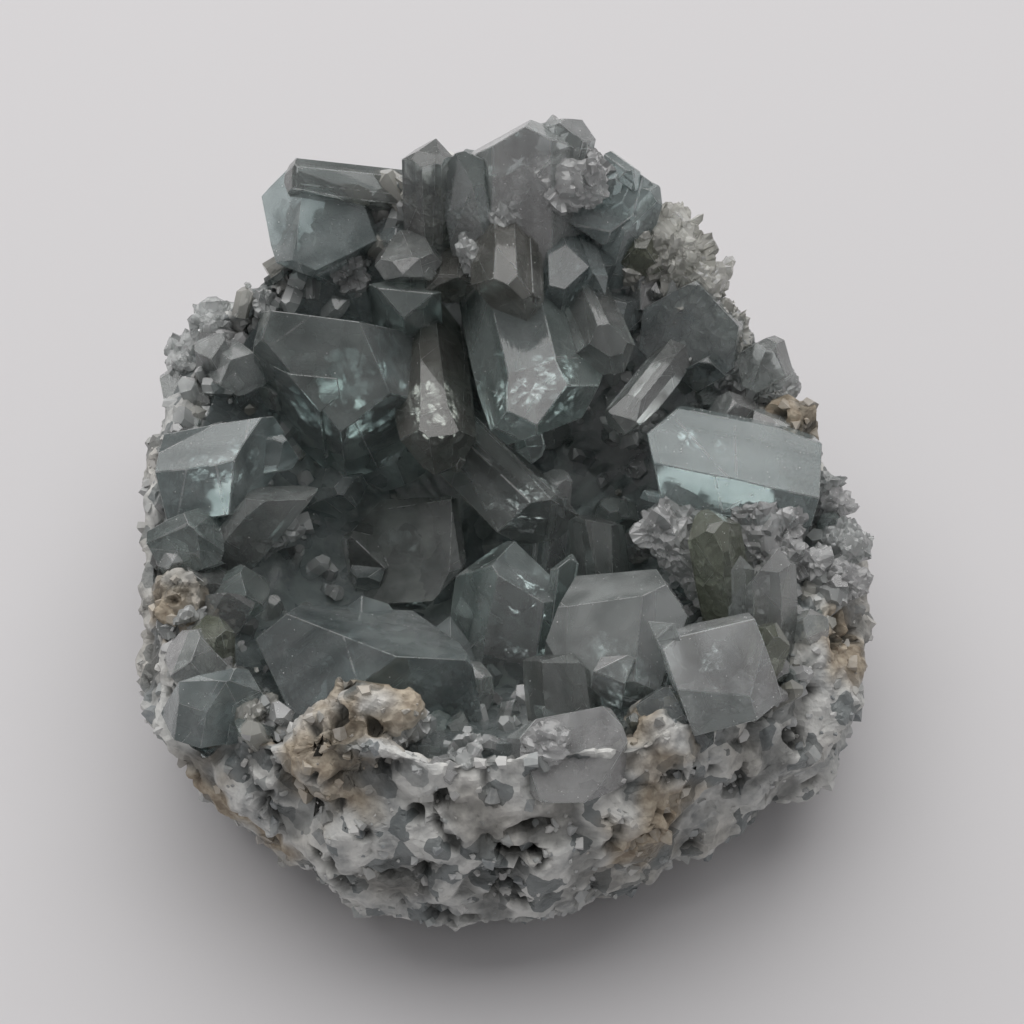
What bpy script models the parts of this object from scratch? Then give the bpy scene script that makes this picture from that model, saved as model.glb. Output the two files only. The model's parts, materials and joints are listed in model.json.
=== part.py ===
"""Celestite crystal cluster: blue-grey crystals grown together in a bowl of their own rind.

Two solids: the rind, cut flat below so that it rests, and the crystals with the bed they root in.
The model is in metres, +Z up, with its origin in the middle of the flat rest face.
"""
import math
import random
from collections import namedtuple

import bmesh
import bpy
from mathutils import Matrix, Vector, noise

# The width that drives every other size, and its hundredth part, the millimetre of the tables
CLUSTER_WIDTH = 0.1
MM = CLUSTER_WIDTH / 100
# Clearance between the crystals and the rind they sit in
GAP = 0.0003
# How much more than the gap the rind's copy is grown by, so that its corners keep the gap too
GAP_SPARE = 1.15

# The view that the crystal tips are placed in, looking down on the piece from the front
VIEW_RISE = math.radians(55)
VIEW_DISTANCE = 450 * MM
VIEW_TARGET = Vector((1, 5, 25)) * MM

# Celestite's unit cell, which sets the angle between every two crystal faces
CELL_A = 8.36
CELL_B = 5.35
CELL_C = 6.87

# Rind: radius of its widest ring and of its lip, and height of the lip, every 30 degrees from +X
BELLY_RADII = (47.5, 45.5, 46, 48, 50, 51.5, 47.5, 51.5, 51.5, 51.5, 47, 51)
LIP_RADII = (44, 41, 41, 43, 45.5, 48, 46, 48, 46, 43, 43, 46)
LIP_HEIGHTS = (27, 31, 45, 55, 49, 35, 28, 28, 34, 37, 34, 29)
BELLY_HEIGHT = 17 * MM
FOOT_SHARE = 0.78
FOOT_TURNS = (0.2, 0.5, 0.8)
WALL_SHARES = (0, 0.25, 0.5, 0.75, 1)
WALL_BULGE = 1.5 * MM
WALL_CURVE = 1.5
BOWL_CENTRE = Vector((-5, 3, 0)) * MM
BOWL_FLOOR = 11 * MM
BOWL_POWER = 2.0
BOWL_SHARES = (0.93, 0.84, 0.72, 0.58, 0.42, 0.24)
RIND_SECTORS = 54
# Lumps of the rind: width and how far they stand out, coarse and fine
LUMPS = ((11 * MM, 2.4 * MM), (5 * MM, 1.1 * MM))
LUMP_FADE = 5 * MM

# Lumps that stand on the lip: azimuth, half width (degrees) and rise (mm)
LIP_LUMPS = ((205, 9, 3), (248, 11, 9), (268, 6, 3), (284, 8, 4), (303, 9, 4), (335, 9, 4))
LIP_LUMP_REACH = 0.7
LIP_SHARE = 0.7
# Lumps of crust on the lip: where they show in the view (mm across and up), height and radius (mm),
# how finely their balls are divided, and the width and reach of the roughness on them
CRUSTS = (
    (-24, -33, 31, 7), (-18, -27, 35, 6.5), (20.5, -31, 31, 6), (-45, -12, 29, 5), (38.5, 11.8, 30, 4.5))
CRUST_DETAIL = 2
CRUST_WIDTH = 4 * MM
CRUST_STAND = 1.5 * MM
# Pits in the outside of the rind: azimuth (degrees), height, half width and depth (mm)
PITS = (
    (269, 22, 5, 4), (243, 27, 3.5, 3), (252, 18, 4, 2.5), (307, 22, 5, 3.5), (212, 16, 5, 3),
    (338, 19, 5, 3), (25, 20, 6, 3), (70, 30, 6, 4), (118, 24, 6, 3.5), (160, 18, 6, 3))
# Ledges that stand out all round the outside: height, half width and reach (mm)
LEDGES = ((11, 2.5, 1.6), (24, 3, 1.8))
LEDGE_WAVES = 3

# Bed that the crystals root in: how far it stands over the bowl and goes below it
BED_OVER = 4 * MM
BED_UNDER = 2.5 * MM
BED_SHARES = (0.25, 0.5, 0.75, 0.94)
BED_TOP_REACH = 0.96

# How much larger the block is that a crystal is cut from, and the cutting tolerance
BLOCK_SPARE = 1.3
CUT_LIMIT = 1e-7
# How far a crystal's faces lie from even, and how far {100} cuts its end short, by kind of end
UNEVEN = 0.1
END_SHORT = {"chisel": 0, "block": 0.16, "flat": 0.42, "slant": 0.6}

# How a crystal is followed back from its tip to its root
ROOT_STEP = 0.5 * MM
ROOT_STEPS = 100
ROOT_REACH = 0.96
# The least length of a crystal's end and of its body behind the end, as shares of its breadth
END_LENGTH = 0.4
SHORTEST = 0.3

# Small crystals that fill the bowl and the lip between the large ones
FILLER_COUNT = 32
FILLER_SIZE = (4.5, 8)
FILLER_REACH = 0.93
FILLER_LEAN = 62
FILLER_TURN = 35
FILLER_TILT = 18
RIM_COUNT = 28
RIM_SIZE = (4, 7)
RIM_SHARE = 0.92
RIM_PLACE = (0.2, 0.8)
RIM_TURN = 40
RIM_RISE = (45, 80)
# Where crust covers the lip and no crystals stand on it (degrees)
RIM_BARE = (232, 258)
# A small crystal's thickness, bevels, length and how far it stands out, as shares of its breadth
SMALL_THICKNESS = (0.6, 1)
SMALL_BEVEL = (0.4, 0.9)
SMALL_LENGTH = 1.8
SMALL_STAND = 0.9
SEED = 11

RIND_COLOUR = (0.36, 0.34, 0.30)
RIND_ROUGHNESS = 0.85
CELESTITE_COLOUR = (0.22, 0.28, 0.30)
CELESTITE_ROUGHNESS = 0.15

Crystal = namedtuple(
    "Crystal", "name across up height heading rise spin breadth thickness lean bevel end")

# One row a crystal: where its tip shows in the view (mm across and up from the middle) and how
# high it is (mm), where it points (degrees round from +X, degrees up, degrees about its own axis),
# its breadth and thickness (mm), how far its end leans to one side and where its bevels start
# (shares of half the breadth and half the thickness), and its end, one of those in END_SHORT
CRYSTALS = (
    Crystal("great_left", -21.9, 28.6, 50, 263, 85, 90, 28, 25, 0.0, 0.85, "chisel"),
    Crystal("rear_left_large", -28.5, 41, 52, 245, 56, 0, 18, 15, 0.2, 0.8, "block"),
    Crystal("rear_left_window", -30.5, 45.5, 54, 188, 20, 20, 6.5, 6, 0.0, 0.9, "flat"),
    Crystal("low_left_rear", -41.5, 29, 37, 140, 58, 10, 10, 9, 0.0, 0.6, "block"),
    Crystal("left_rear_mass", -46, 24.5, 33, 180, 60, 30, 11, 11, 0.2, 0.5, "chisel"),
    Crystal("left_rear_low", -46.5, 18.5, 31, 190, 60, 0, 10, 10, 0.0, 0.4, "chisel"),
    Crystal("left_rim_1", -47, 13, 30, 180, 50, 20, 8, 8, 0.0, 0.7, "block"),
    Crystal("left_rim_2", -47, 6, 31, 185, 50, 0, 9, 8, 0.0, 0.6, "chisel"),
    Crystal("lit_plate", -35, 18, 38, 300, 30, 0, 8, 6, 0.0, 0.6, "chisel"),
    Crystal("back_small_prism", -11.5, 49.5, 60, 90, 75, 10, 7, 6, 0.0, 0.8, "block"),
    Crystal("peak", 1.5, 55.5, 63, 90, 60, 0, 16, 12, 0.0, 0.9, "chisel"),
    Crystal("peak_left", -6.5, 50.5, 60, 110, 60, 0, 9, 9, 0.3, 0.5, "chisel"),
    Crystal("frosted_rear", -3, 38, 55, 268, 38, 20, 17, 14, 0.0, 0.7, "chisel"),
    Crystal("slab_right_of_peak", 16.5, 40, 54, 300, 22, 0, 13, 9, 0.3, 0.7, "chisel"),
    Crystal("rear_band", 7, 44, 58, 270, 32, 0, 12, 7, 0.0, 0.7, "block"),
    Crystal("peak_right", 8, 53.5, 61, 60, 60, 30, 9, 8, 0.0, 0.6, "block"),
    Crystal("peak_far_right", 13.5, 49, 57, 40, 60, 10, 8, 7, 0.0, 0.5, "chisel"),
    Crystal("peak_far_right_2", 17.5, 44.5, 53, 60, 60, 0, 8, 8, 0.0, 0.7, "block"),
    Crystal("striated_triangle", -14, 33, 50, 270, 40, 0, 9, 8, 0.0, 0.2, "chisel"),
    Crystal("hanging", -9.5, 7, 38, 275, 10, 0, 11, 12, 0.0, 0.5, "chisel"),
    Crystal("column", 6, 9, 42, 280, 5, 10, 17, 15, -0.3, 0.5, "chisel"),
    Crystal("column_upper", -0.5, 27, 50, 272, 5, 0, 9.5, 9, 0.0, 0.7, "block"),
    Crystal("slate_rear", 10, 27, 48, 280, 20, 20, 12, 11, 0.3, 0.6, "chisel"),
    Crystal("lit_below_slate", 13.5, 21, 46, 285, 12, 0, 8, 8, 0.0, 0.6, "block"),
    Crystal("dark_box", -8.5, 29.5, 46, 268, 24, 0, 7, 6.5, 0.0, 0.9, "flat"),
    Crystal("olive_slab", 20.5, 32, 47, 290, 20, 0, 8, 7, 0.0, 0.3, "chisel"),
    Crystal("rim_right_rear_1", 22, 41.5, 50, 45, 64, 0, 10, 10, 0.0, 0.7, "block"),
    Crystal("rim_right_rear_2", 25.5, 38, 47, 45, 60, 20, 8, 7, 0.0, 0.6, "chisel"),
    Crystal("rim_right_rear_3", 27.5, 34, 44, 30, 60, 0, 8, 8, 0.0, 0.6, "block"),
    Crystal("rim_right_rear_4", 31, 27.5, 40, 30, 58, 40, 8, 7, 0.0, 0.7, "block"),
    Crystal("rim_right_rear_5", 34, 24, 37, 20, 60, 10, 7, 7, 0.0, 0.5, "chisel"),
    Crystal("rim_right_rear_6", 37, 19, 33, 10, 55, 0, 9, 9, 0.0, 0.7, "block"),
    Crystal("right_middle", 23, 23.5, 42, 250, 45, 96, 17, 13, 0.2, 0.9, "chisel"),
    Crystal("right_grey_block", 33, 19.5, 38, 240, 40, 0, 8, 8, 0.0, 0.6, "block"),
    Crystal("right_arrow", 15.5, 9, 38, 176, 13, -5, 16, 8, 0.2, 0.9, "chisel"),
    Crystal("small_by_arrow", 14, 11, 38, 240, 10, 0, 6, 5, 0.0, 0.3, "chisel"),
    Crystal("left_shield", -29.8, 7.5, 38, 355, 20, 0, 15, 10, 0.3, 0.7, "chisel"),
    Crystal("left_teal", -40, -3, 33, 0, 35, 0, 10, 10, 0.0, 0.8, "block"),
    Crystal("tilted_prism", -29, 5.5, 38, 30, 45, 0, 8.5, 9, 0.0, 0.8, "flat"),
    Crystal("centre_slate", -15, 8, 28, 300, 50, 0, 12, 10, 0.0, 0.7, "chisel"),
    Crystal("dark_glass", -14, -4, 26, 300, 66, 20, 19, 15, 0.0, 0.8, "flat"),
    Crystal("centre_slab", 6, -4, 32, 305, 10, 0, 11, 9, 0.0, 0.8, "flat"),
    Crystal("centre_light", 6, 5.5, 33, 80, 60, 0, 5, 5, 0.0, 0.6, "block"),
    Crystal("front_centre", 2, -3.5, 34, 80, 50, 0, 18, 12, -0.4, 0.8, "block"),
    Crystal("dark_right_centre", 11, 1, 32, 100, 50, 0, 8, 7, 0.0, 0.7, "block"),
    Crystal("white_right", 18, 0, 36, 150, 40, 0, 8, 7, 0.0, 0.6, "block"),
    Crystal("light_grey_right", 18.5, 2.5, 36, 165, 30, 0, 7, 5, 0.0, 0.7, "chisel"),
    Crystal("olive_right", 27, 0, 39, 110, 55, 0, 8, 8, 0.0, 0.6, "chisel"),
    Crystal("frosted_right_1", 33, 2.5, 36, 100, 50, 20, 8, 8, 0.0, 0.6, "block"),
    Crystal("frosted_right_2", 38, 2, 35, 60, 50, 0, 8, 8, 0.0, 0.6, "chisel"),
    Crystal("frosted_right_3", 41, -2, 34, 30, 45, 30, 8, 7, 0.0, 0.6, "block"),
    Crystal("grey_right", 34, -5.5, 40, 95, 60, 0, 9, 8, 0.0, 0.7, "block"),
    Crystal("dark_green_right", 36, -15, 38, 60, 50, 0, 6, 6, 0.0, 0.6, "chisel"),
    Crystal("front_right_inner", 14.5, -13, 43, 300, 84, 90, 20, 18, 0.0, 0.85, "chisel"),
    Crystal("front_right_outer", 25, -12, 46, 122, 52, 20, 15, 13, 0.0, 0.7, "block"),
    Crystal("front_great", -8, -14.5, 33, 27, 28, 118, 28, 29, 0.0, 1.0, "slant"),
    Crystal("left_low_white", -46, -17.5, 34, 150, 50, 0, 8, 7, 0.0, 0.8, "block"),
    Crystal("left_low_blue", -40, -20, 36, 70, 58, 0, 14, 12, 0.0, 0.6, "block"),
    Crystal("left_low_grey", -40, -5, 32, 60, 45, 0, 8, 7, 0.0, 0.6, "chisel"),
    Crystal("left_low_grey_2", -37, -9, 31, 45, 45, 0, 8, 7, 0.0, 0.6, "block"),
    Crystal("left_low_olive", -41, -14, 34, 90, 50, 0, 6, 6, 0.0, 0.6, "chisel"),
    Crystal("front_white_block", 8, -26.5, 40, 84, 58, 0, 15, 12, 0.0, 0.8, "block"),
    Crystal("stacked_plates", 6, -19.5, 36, 100, 40, 0, 10, 5, 0.0, 0.8, "flat"),
    Crystal("rim_right_1", 43, 7, 33, 10, 50, 0, 7, 6, 0.0, 0.6, "block"),
    Crystal("rim_right_2", 46, 3, 31, 0, 50, 0, 6, 6, 0.0, 0.6, "chisel"),
    Crystal("rim_right_3", 47.5, -3, 30, 350, 50, 0, 7, 6, 0.0, 0.6, "block"),
    Crystal("rim_right_4", 48, -8, 30, 0, 50, 0, 6, 6, 0.0, 0.6, "chisel"),
)


def clear_scene():
    """Remove every object that the file opened with."""
    for old in list(bpy.data.objects):
        bpy.data.objects.remove(old, do_unlink=True)


def new_collection(name):
    """A collection linked under the scene."""
    made = bpy.data.collections.new(name)
    bpy.context.scene.collection.children.link(made)
    return made


def material(name, colour, roughness):
    """A plain Principled material."""
    made = bpy.data.materials.new(name)
    made.use_nodes = True
    shader = made.node_tree.nodes["Principled BSDF"]
    shader.inputs["Base Color"].default_value = (*colour, 1)
    shader.inputs["Roughness"].default_value = roughness
    shader.inputs["Metallic"].default_value = 0
    made.diffuse_color = (*colour, 1)
    return made


def rind_material():
    """Rough white-grey rock."""
    return material("rind", RIND_COLOUR, RIND_ROUGHNESS)


def celestite_material():
    """Glassy blue-grey crystal."""
    return material("celestite", CELESTITE_COLOUR, CELESTITE_ROUGHNESS)


def object_from(shape, name, collection):
    """A mesh object made from a bmesh, which is freed."""
    bmesh.ops.recalc_face_normals(shape, faces=shape.faces)
    mesh = bpy.data.meshes.new(name)
    shape.to_mesh(mesh)
    shape.free()
    made = bpy.data.objects.new(name, mesh)
    collection.objects.link(made)
    return made


def guide_from(shape, name, collection):
    """An object that only joins or cuts another, made from a bmesh."""
    made = object_from(shape, name, collection)
    made.hide_render = True
    made.display_type = "WIRE"
    return made


def face_normal(h, k, l):
    """Unit normal of a crystal face, from its indices and the unit cell."""
    return Vector((h / CELL_A, k / CELL_B, l / CELL_C)).normalized()


def view_point(across, up, height):
    """The point at a height (mm) that shows in the view at across, up (mm)."""
    right = Vector((1, 0, 0))
    rise = Vector((0, math.sin(VIEW_RISE), math.cos(VIEW_RISE)))
    ahead = Vector((0, math.cos(VIEW_RISE), -math.sin(VIEW_RISE)))
    eye = VIEW_TARGET - ahead * VIEW_DISTANCE
    ray = VIEW_TARGET + right * across * MM + rise * up * MM - eye
    return eye + ray * ((height * MM - eye.z) / ray.z)


def growth_frame(heading, rise, spin):
    """Rotation whose X runs along the crystal, Y across its breadth and Z through its thickness."""
    turn = Matrix.Rotation(math.radians(heading), 3, "Z")
    lift = Matrix.Rotation(math.radians(-rise), 3, "Y")
    roll = Matrix.Rotation(math.radians(spin), 3, "X")
    return turn @ lift @ roll


def cut(shape, normal, distance):
    """Cut a convex solid by the plane at a distance along its normal and close the cut."""
    result = bmesh.ops.bisect_plane(
        shape, geom=shape.verts[:] + shape.edges[:] + shape.faces[:], dist=CUT_LIMIT,
        plane_co=normal * distance, plane_no=normal, clear_outer=True)
    rim = [item for item in result["geom_cut"] if isinstance(item, bmesh.types.BMEdge)]
    if len(rim) > 2:
        bmesh.ops.contextual_create(shape, geom=rim)


def crystal_shape(size, lean, bevel, end, chance):
    """A celestite crystal with the middle of its end at the origin and its root on -X.

    Its prism has faces {011} and flats {001}. Its end has faces {210}, which meet in an edge
    that leans to one side, and bevels {102}. A block or a flat end is cut short by {100}, which
    is the end of the block that the crystal is cut from, and a slant end by {201}.
    """
    breadth, thickness, length = size
    block = (length, breadth * BLOCK_SPARE, thickness * BLOCK_SPARE)
    shape = bmesh.new()
    bmesh.ops.create_cube(shape, size=1)
    bmesh.ops.scale(shape, vec=block, verts=shape.verts)
    bmesh.ops.translate(shape, vec=(-length / 2, 0, 0), verts=shape.verts)

    def near(distance):
        return distance * chance.uniform(1 - UNEVEN, 1 + UNEVEN)

    for side in (1, -1):
        for face in (1, -1):
            prism = face_normal(0, side, face)
            cut(shape, prism, near(prism.y * side * breadth / 2))
        cut(shape, face_normal(0, 0, side), near(thickness / 2))
    short = END_SHORT[end] * breadth
    end_edge = Vector((short, lean * breadth / 2, 0))
    for side in (1, -1):
        chisel = face_normal(2, side, 0)
        cut(shape, chisel, chisel.dot(end_edge))
        slope = face_normal(1, 0, 2 * side)
        cut(shape, slope, slope.z * side * near(thickness * bevel / 2) + slope.x * short)
    if end == "slant":
        cut(shape, face_normal(2, 0, -1), 0)
    return shape


def place_crystal(name, tip, frame, shape, collection):
    """Put a crystal's end at a point, grown along the frame's X."""
    made = guide_from(shape, name, collection)
    made.matrix_world = Matrix.Translation(tip) @ frame.to_4x4()


def around(values, azimuth):
    """Smooth value at an azimuth (radians) from values spaced evenly round the circle."""
    place = azimuth / math.tau % 1 * len(values)
    first = int(place)
    share = place - first
    before, here, after, beyond = (values[(first + step) % len(values)] for step in (-1, 0, 1, 2))
    slope_here = (after - before) / 2
    slope_after = (beyond - here) / 2
    rest = share * (share - 1)
    return (here + (after - here) * share * share * (3 - 2 * share)
            + rest * ((share - 1) * slope_here + share * slope_after))


def bowl_point(azimuth, share):
    """A point of the bowl's surface, from its centre (0) out to the lip (1)."""
    lip = around(LIP_RADII, azimuth) * MM
    height = around(LIP_HEIGHTS, azimuth) * MM
    rim = Vector((math.cos(azimuth), math.sin(azimuth), 0)) * lip
    spot = BOWL_CENTRE.lerp(rim, share)
    spot.z = BOWL_FLOOR + (height - BOWL_FLOOR) * share ** BOWL_POWER
    return spot


def rind_profile(azimuth):
    """The rind's section at an azimuth: foot, belly, lip and bowl, from outside to inside."""
    out = Vector((math.cos(azimuth), math.sin(azimuth), 0))
    belly = around(BELLY_RADII, azimuth) * MM
    lip = around(LIP_RADII, azimuth) * MM
    height = around(LIP_HEIGHTS, azimuth) * MM
    up = Vector((0, 0, 1))
    outside = [out * belly * FOOT_SHARE]
    for share in FOOT_TURNS:
        angle = share * math.pi / 2
        reach = belly * (FOOT_SHARE + (1 - FOOT_SHARE) * math.sin(angle))
        outside.append(out * reach + up * BELLY_HEIGHT * (1 - math.cos(angle)))
    for share in WALL_SHARES:
        bulge = math.sin(share * math.pi) * WALL_BULGE
        reach = belly + (lip - belly) * share ** WALL_CURVE + bulge
        outside.append(out * reach + up * (BELLY_HEIGHT + (height - BELLY_HEIGHT) * share))
    outside = [point + out * relief(azimuth, point.z) for point in outside]
    inside = []
    for share in BOWL_SHARES:
        lump = lip_lump(azimuth) * max(0, (share - LIP_LUMP_REACH) / (1 - LIP_LUMP_REACH))
        inside.append(bowl_point(azimuth, share) + up * lump)
    outside[-1] += up * lip_lump(azimuth) * LIP_SHARE
    return outside + inside


def lip_lump(azimuth):
    """How far the lumps on the lip raise it at an azimuth."""
    total = 0
    for middle, half_width, rise in LIP_LUMPS:
        away = turn_from(middle, azimuth)
        total += rise * MM * math.exp(-(away / half_width) ** 2)
    return total


def turn_from(middle, azimuth):
    """Degrees from a middle (degrees) to an azimuth (radians), by the shorter way round."""
    return (math.degrees(azimuth) - middle + 180) % 360 - 180


def relief(azimuth, height):
    """How far the ledges stand out, less the depth of the pits, at a place on the outside."""
    total = 0
    for middle, half_width, reach in LEDGES:
        wander = math.sin(LEDGE_WAVES * azimuth + middle) * half_width * MM
        away = (height - middle * MM - wander) / (half_width * MM)
        total += reach * MM * math.exp(-away ** 2) * min(1, height / LUMP_FADE)
    for middle, level, half_width, depth in PITS:
        along_wall = math.radians(turn_from(middle, azimuth)) * around(BELLY_RADII, azimuth)
        across = along_wall / half_width
        above = (height / MM - level) / half_width
        total -= depth * MM * math.exp(-across ** 2 - above ** 2)
    return total


def lumped(point):
    """A point moved by the rind's lumps, which fade out towards the flat foot."""
    fade = min(1, point.z / LUMP_FADE)
    for width, stand in LUMPS:
        point = point + noise.noise_vector(point / width) * stand * fade
    return point


def turned_grid(sections):
    """A closed solid from equal sections round the circle, closed at both ends by a fan."""
    count = len(sections)
    rings = len(sections[0])
    shape = bmesh.new()
    bmesh.ops.create_cone(
        shape, cap_ends=True, cap_tris=False, segments=count, radius1=1, radius2=1, depth=1)
    upright = [edge for edge in shape.edges if edge.verts[0].co.z * edge.verts[1].co.z < 0]
    bmesh.ops.subdivide_edges(shape, edges=upright, cuts=rings - 2, use_grid_fill=True)
    for vert in shape.verts:
        turn = math.atan2(vert.co.y, vert.co.x) / math.tau % 1
        ring = round((vert.co.z + 0.5) * (rings - 1))
        vert.co = sections[round(turn * count) % count][ring]
    caps = [face for face in shape.faces if len(face.verts) == count]
    bmesh.ops.poke(shape, faces=caps)
    bmesh.ops.triangulate(shape, faces=shape.faces)
    return shape


def build_rind(collection):
    """The rind: a thick lumpy bowl with a flat foot."""
    sections = [rind_profile(math.tau * step / RIND_SECTORS) for step in range(RIND_SECTORS)]
    sections = [[lumped(point) for point in section] for section in sections]
    return object_from(turned_grid(sections), "matrix", collection)


def build_crusts(collection):
    """Rough balls of crust, half sunk in the lip."""
    for number, (across, up, height, radius) in enumerate(CRUSTS):
        middle = view_point(across, up, height)
        shape = bmesh.new()
        bmesh.ops.create_icosphere(shape, subdivisions=CRUST_DETAIL, radius=radius * MM)
        for vert in shape.verts:
            place = middle + vert.co
            vert.co = place + noise.noise_vector(place / CRUST_WIDTH) * CRUST_STAND
        guide_from(shape, f"crust_{number + 1}", collection)


def bed_sections():
    """Sections of the bed: its underside in the rind, its edge and its top over the bowl."""
    sections = []
    for step in range(RIND_SECTORS):
        azimuth = math.tau * step / RIND_SECTORS
        below = [bowl_point(azimuth, share) for share in BED_SHARES]
        above = [bowl_point(azimuth, share * BED_TOP_REACH) for share in reversed(BED_SHARES)]
        under = [point - Vector((0, 0, BED_UNDER)) for point in below]
        over = [point + Vector((0, 0, BED_OVER)) for point in above]
        sections.append(under + over)
    return sections


def build_bed(collection):
    """The layer that all crystals root in."""
    return object_from(turned_grid(bed_sections()), "crystals", collection)


def root_length(tip, along, shortest):
    """How far back from its tip a crystal runs until it is rooted below the bowl's surface."""
    start = reach_share(tip)
    length = shortest
    for _ in range(ROOT_STEPS):
        point = tip - along * length
        share = reach_share(point)
        lip = around(LIP_HEIGHTS, math.atan2(point.y, point.x)) * MM
        surface = BOWL_FLOOR + (lip - BOWL_FLOOR) * min(1, share) ** BOWL_POWER
        rooted = share < ROOT_REACH and point.z < surface
        past_lip = share > ROOT_REACH and share > start
        if rooted or past_lip:
            break
        length += ROOT_STEP
    return length


def reach_share(point):
    """How far out a point is, as a share of the lip's radius there."""
    azimuth = math.atan2(point.y, point.x)
    return math.hypot(point.x, point.y) / (around(LIP_RADII, azimuth) * MM)


def inward_frame(azimuth, steepness, chance):
    """Growth frame of a small crystal on the bowl, pointing in and up."""
    heading = math.degrees(azimuth) + 180 + chance.uniform(-FILLER_TURN, FILLER_TURN)
    rise = 90 - steepness + chance.uniform(-FILLER_TILT, FILLER_TILT)
    return growth_frame(heading, rise, chance.uniform(0, 90))


def small_crystal(name, azimuth, share, breadth, frame, over, chance, collection):
    """One small crystal rooted on the bowl, a little longer than it is broad."""
    size = (breadth, breadth * chance.uniform(*SMALL_THICKNESS), breadth * SMALL_LENGTH)
    bevel = chance.uniform(*SMALL_BEVEL)
    end = chance.choice(("chisel", "block"))
    root = bowl_point(azimuth, share) + Vector((0, 0, over))
    tip = root + frame.col[0] * breadth * SMALL_STAND
    place_crystal(name, tip, frame, crystal_shape(size, 0, bevel, end, chance), collection)


def grow_fillers(chance, collection):
    """Small crystals over the bowl, spread by the golden angle."""
    golden = math.pi * (3 - math.sqrt(5))
    for number in range(FILLER_COUNT):
        share = math.sqrt((number + 0.5) / FILLER_COUNT) * FILLER_REACH
        azimuth = number * golden % math.tau
        breadth = chance.uniform(*FILLER_SIZE) * MM
        frame = inward_frame(azimuth, FILLER_LEAN * share, chance)
        name = f"filler_{number + 1}"
        small_crystal(name, azimuth, share, breadth, frame, BED_OVER, chance, collection)


def grow_rim(chance, collection):
    """Small crystals round the lip, pointing up and out."""
    for number in range(RIM_COUNT):
        azimuth = math.tau * (number + chance.uniform(*RIM_PLACE)) / RIM_COUNT
        if RIM_BARE[0] < math.degrees(azimuth) < RIM_BARE[1]:
            continue
        breadth = chance.uniform(*RIM_SIZE) * MM
        heading = math.degrees(azimuth) + chance.uniform(-RIM_TURN, RIM_TURN)
        frame = growth_frame(heading, chance.uniform(*RIM_RISE), chance.uniform(0, 90))
        name = f"rim_{number + 1}"
        small_crystal(name, azimuth, RIM_SHARE, breadth, frame, BED_OVER / 2, chance, collection)


def grow_crystals(collection):
    """Every crystal as its own closed solid, to be joined to the bed."""
    chance = random.Random(SEED)
    for row in CRYSTALS:
        tip = view_point(row.across, row.up, row.height)
        frame = growth_frame(row.heading, row.rise, row.spin)
        breadth = row.breadth * MM
        shortest = breadth * (END_LENGTH * (1 + abs(row.lean)) + SHORTEST)
        length = root_length(tip, frame.col[0], shortest)
        size = (breadth, row.thickness * MM, length)
        shape = crystal_shape(size, row.lean, row.bevel, row.end, chance)
        place_crystal(row.name, tip, frame, shape, collection)
    grow_fillers(chance, collection)
    grow_rim(chance, collection)


def enlarge(piece, collection):
    """Make a copy of a piece of the rind, grown by the gap, which cuts the crystals clear of it."""
    shape = bmesh.new()
    shape.from_mesh(piece.data)
    shape.normal_update()
    moves = [(vert, vert.normal * GAP * GAP_SPARE) for vert in shape.verts]
    for vert, move in moves:
        vert.co += move
    guide_from(shape, f"{piece.name}_cutter", collection)


def join_all(piece, grown):
    """Have a piece fused with all that is in a collection."""
    union = piece.modifiers.new("grown together", "BOOLEAN")
    union.operation = "UNION"
    union.operand_type = "COLLECTION"
    union.collection = grown
    union.solver = "EXACT"


def cut_clear(piece, cutters):
    """Have all cutters of a collection taken away from a piece."""
    clear = piece.modifiers.new("clear of the rind", "BOOLEAN")
    clear.operation = "DIFFERENCE"
    clear.operand_type = "COLLECTION"
    clear.collection = cutters
    clear.solver = "EXACT"


def settle(piece):
    """Make a piece the mesh that its modifiers give, with what it shuts in filled."""
    bpy.context.view_layer.update()
    evaluated = piece.evaluated_get(bpy.context.evaluated_depsgraph_get())
    joined = bpy.data.meshes.new_from_object(evaluated)
    piece.modifiers.clear()
    piece.data = joined
    keep_outer_shell(joined)


def keep_outer_shell(mesh):
    """Keep the shell with most faces, and so fill the hollows that are shut in."""
    shape = bmesh.new()
    shape.from_mesh(mesh)
    left = set(shape.faces)
    shells = []
    while left:
        shell = {left.pop()}
        border = list(shell)
        while border:
            face = border.pop()
            for edge in face.edges:
                found = [other for other in edge.link_faces if other in left]
                left.difference_update(found)
                shell.update(found)
                border.extend(found)
        shells.append(shell)
    shells.sort(key=len)
    inner = [face for shell in shells[:-1] for face in shell]
    bmesh.ops.delete(shape, geom=inner, context="FACES")
    bmesh.ops.triangulate(shape, faces=shape.faces)
    shape.to_mesh(mesh)
    shape.free()


def main():
    """Build the rind, then the crystals that grew in it, cut clear of it by the gap."""
    clear_scene()
    noise.seed_set(SEED)
    parts = new_collection("celestite_cluster")
    crusts = new_collection("crusts")
    grown = new_collection("grown_crystals")
    cutters = new_collection("cutters")
    rind = build_rind(parts)
    rind.data.materials.append(rind_material())
    build_crusts(crusts)
    for piece in [rind, *crusts.objects]:
        enlarge(piece, cutters)
    join_all(rind, crusts)
    settle(rind)
    bed = build_bed(parts)
    bed.data.materials.append(celestite_material())
    grow_crystals(grown)
    join_all(bed, grown)
    cut_clear(bed, cutters)
    settle(bed)


main()
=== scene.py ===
"""Dresses the celestite crystal cluster: its crystals, rind, crusts and grains, with light and camera.

Everything is in metres, +Z up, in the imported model's frame, with the origin in the middle of the
flat face that the piece rests on. Sizes in the tables are in millimetres.
"""

import json
import math
import random
from collections import namedtuple

import bmesh
import bpy
from mathutils import Matrix, Vector, noise

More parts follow.
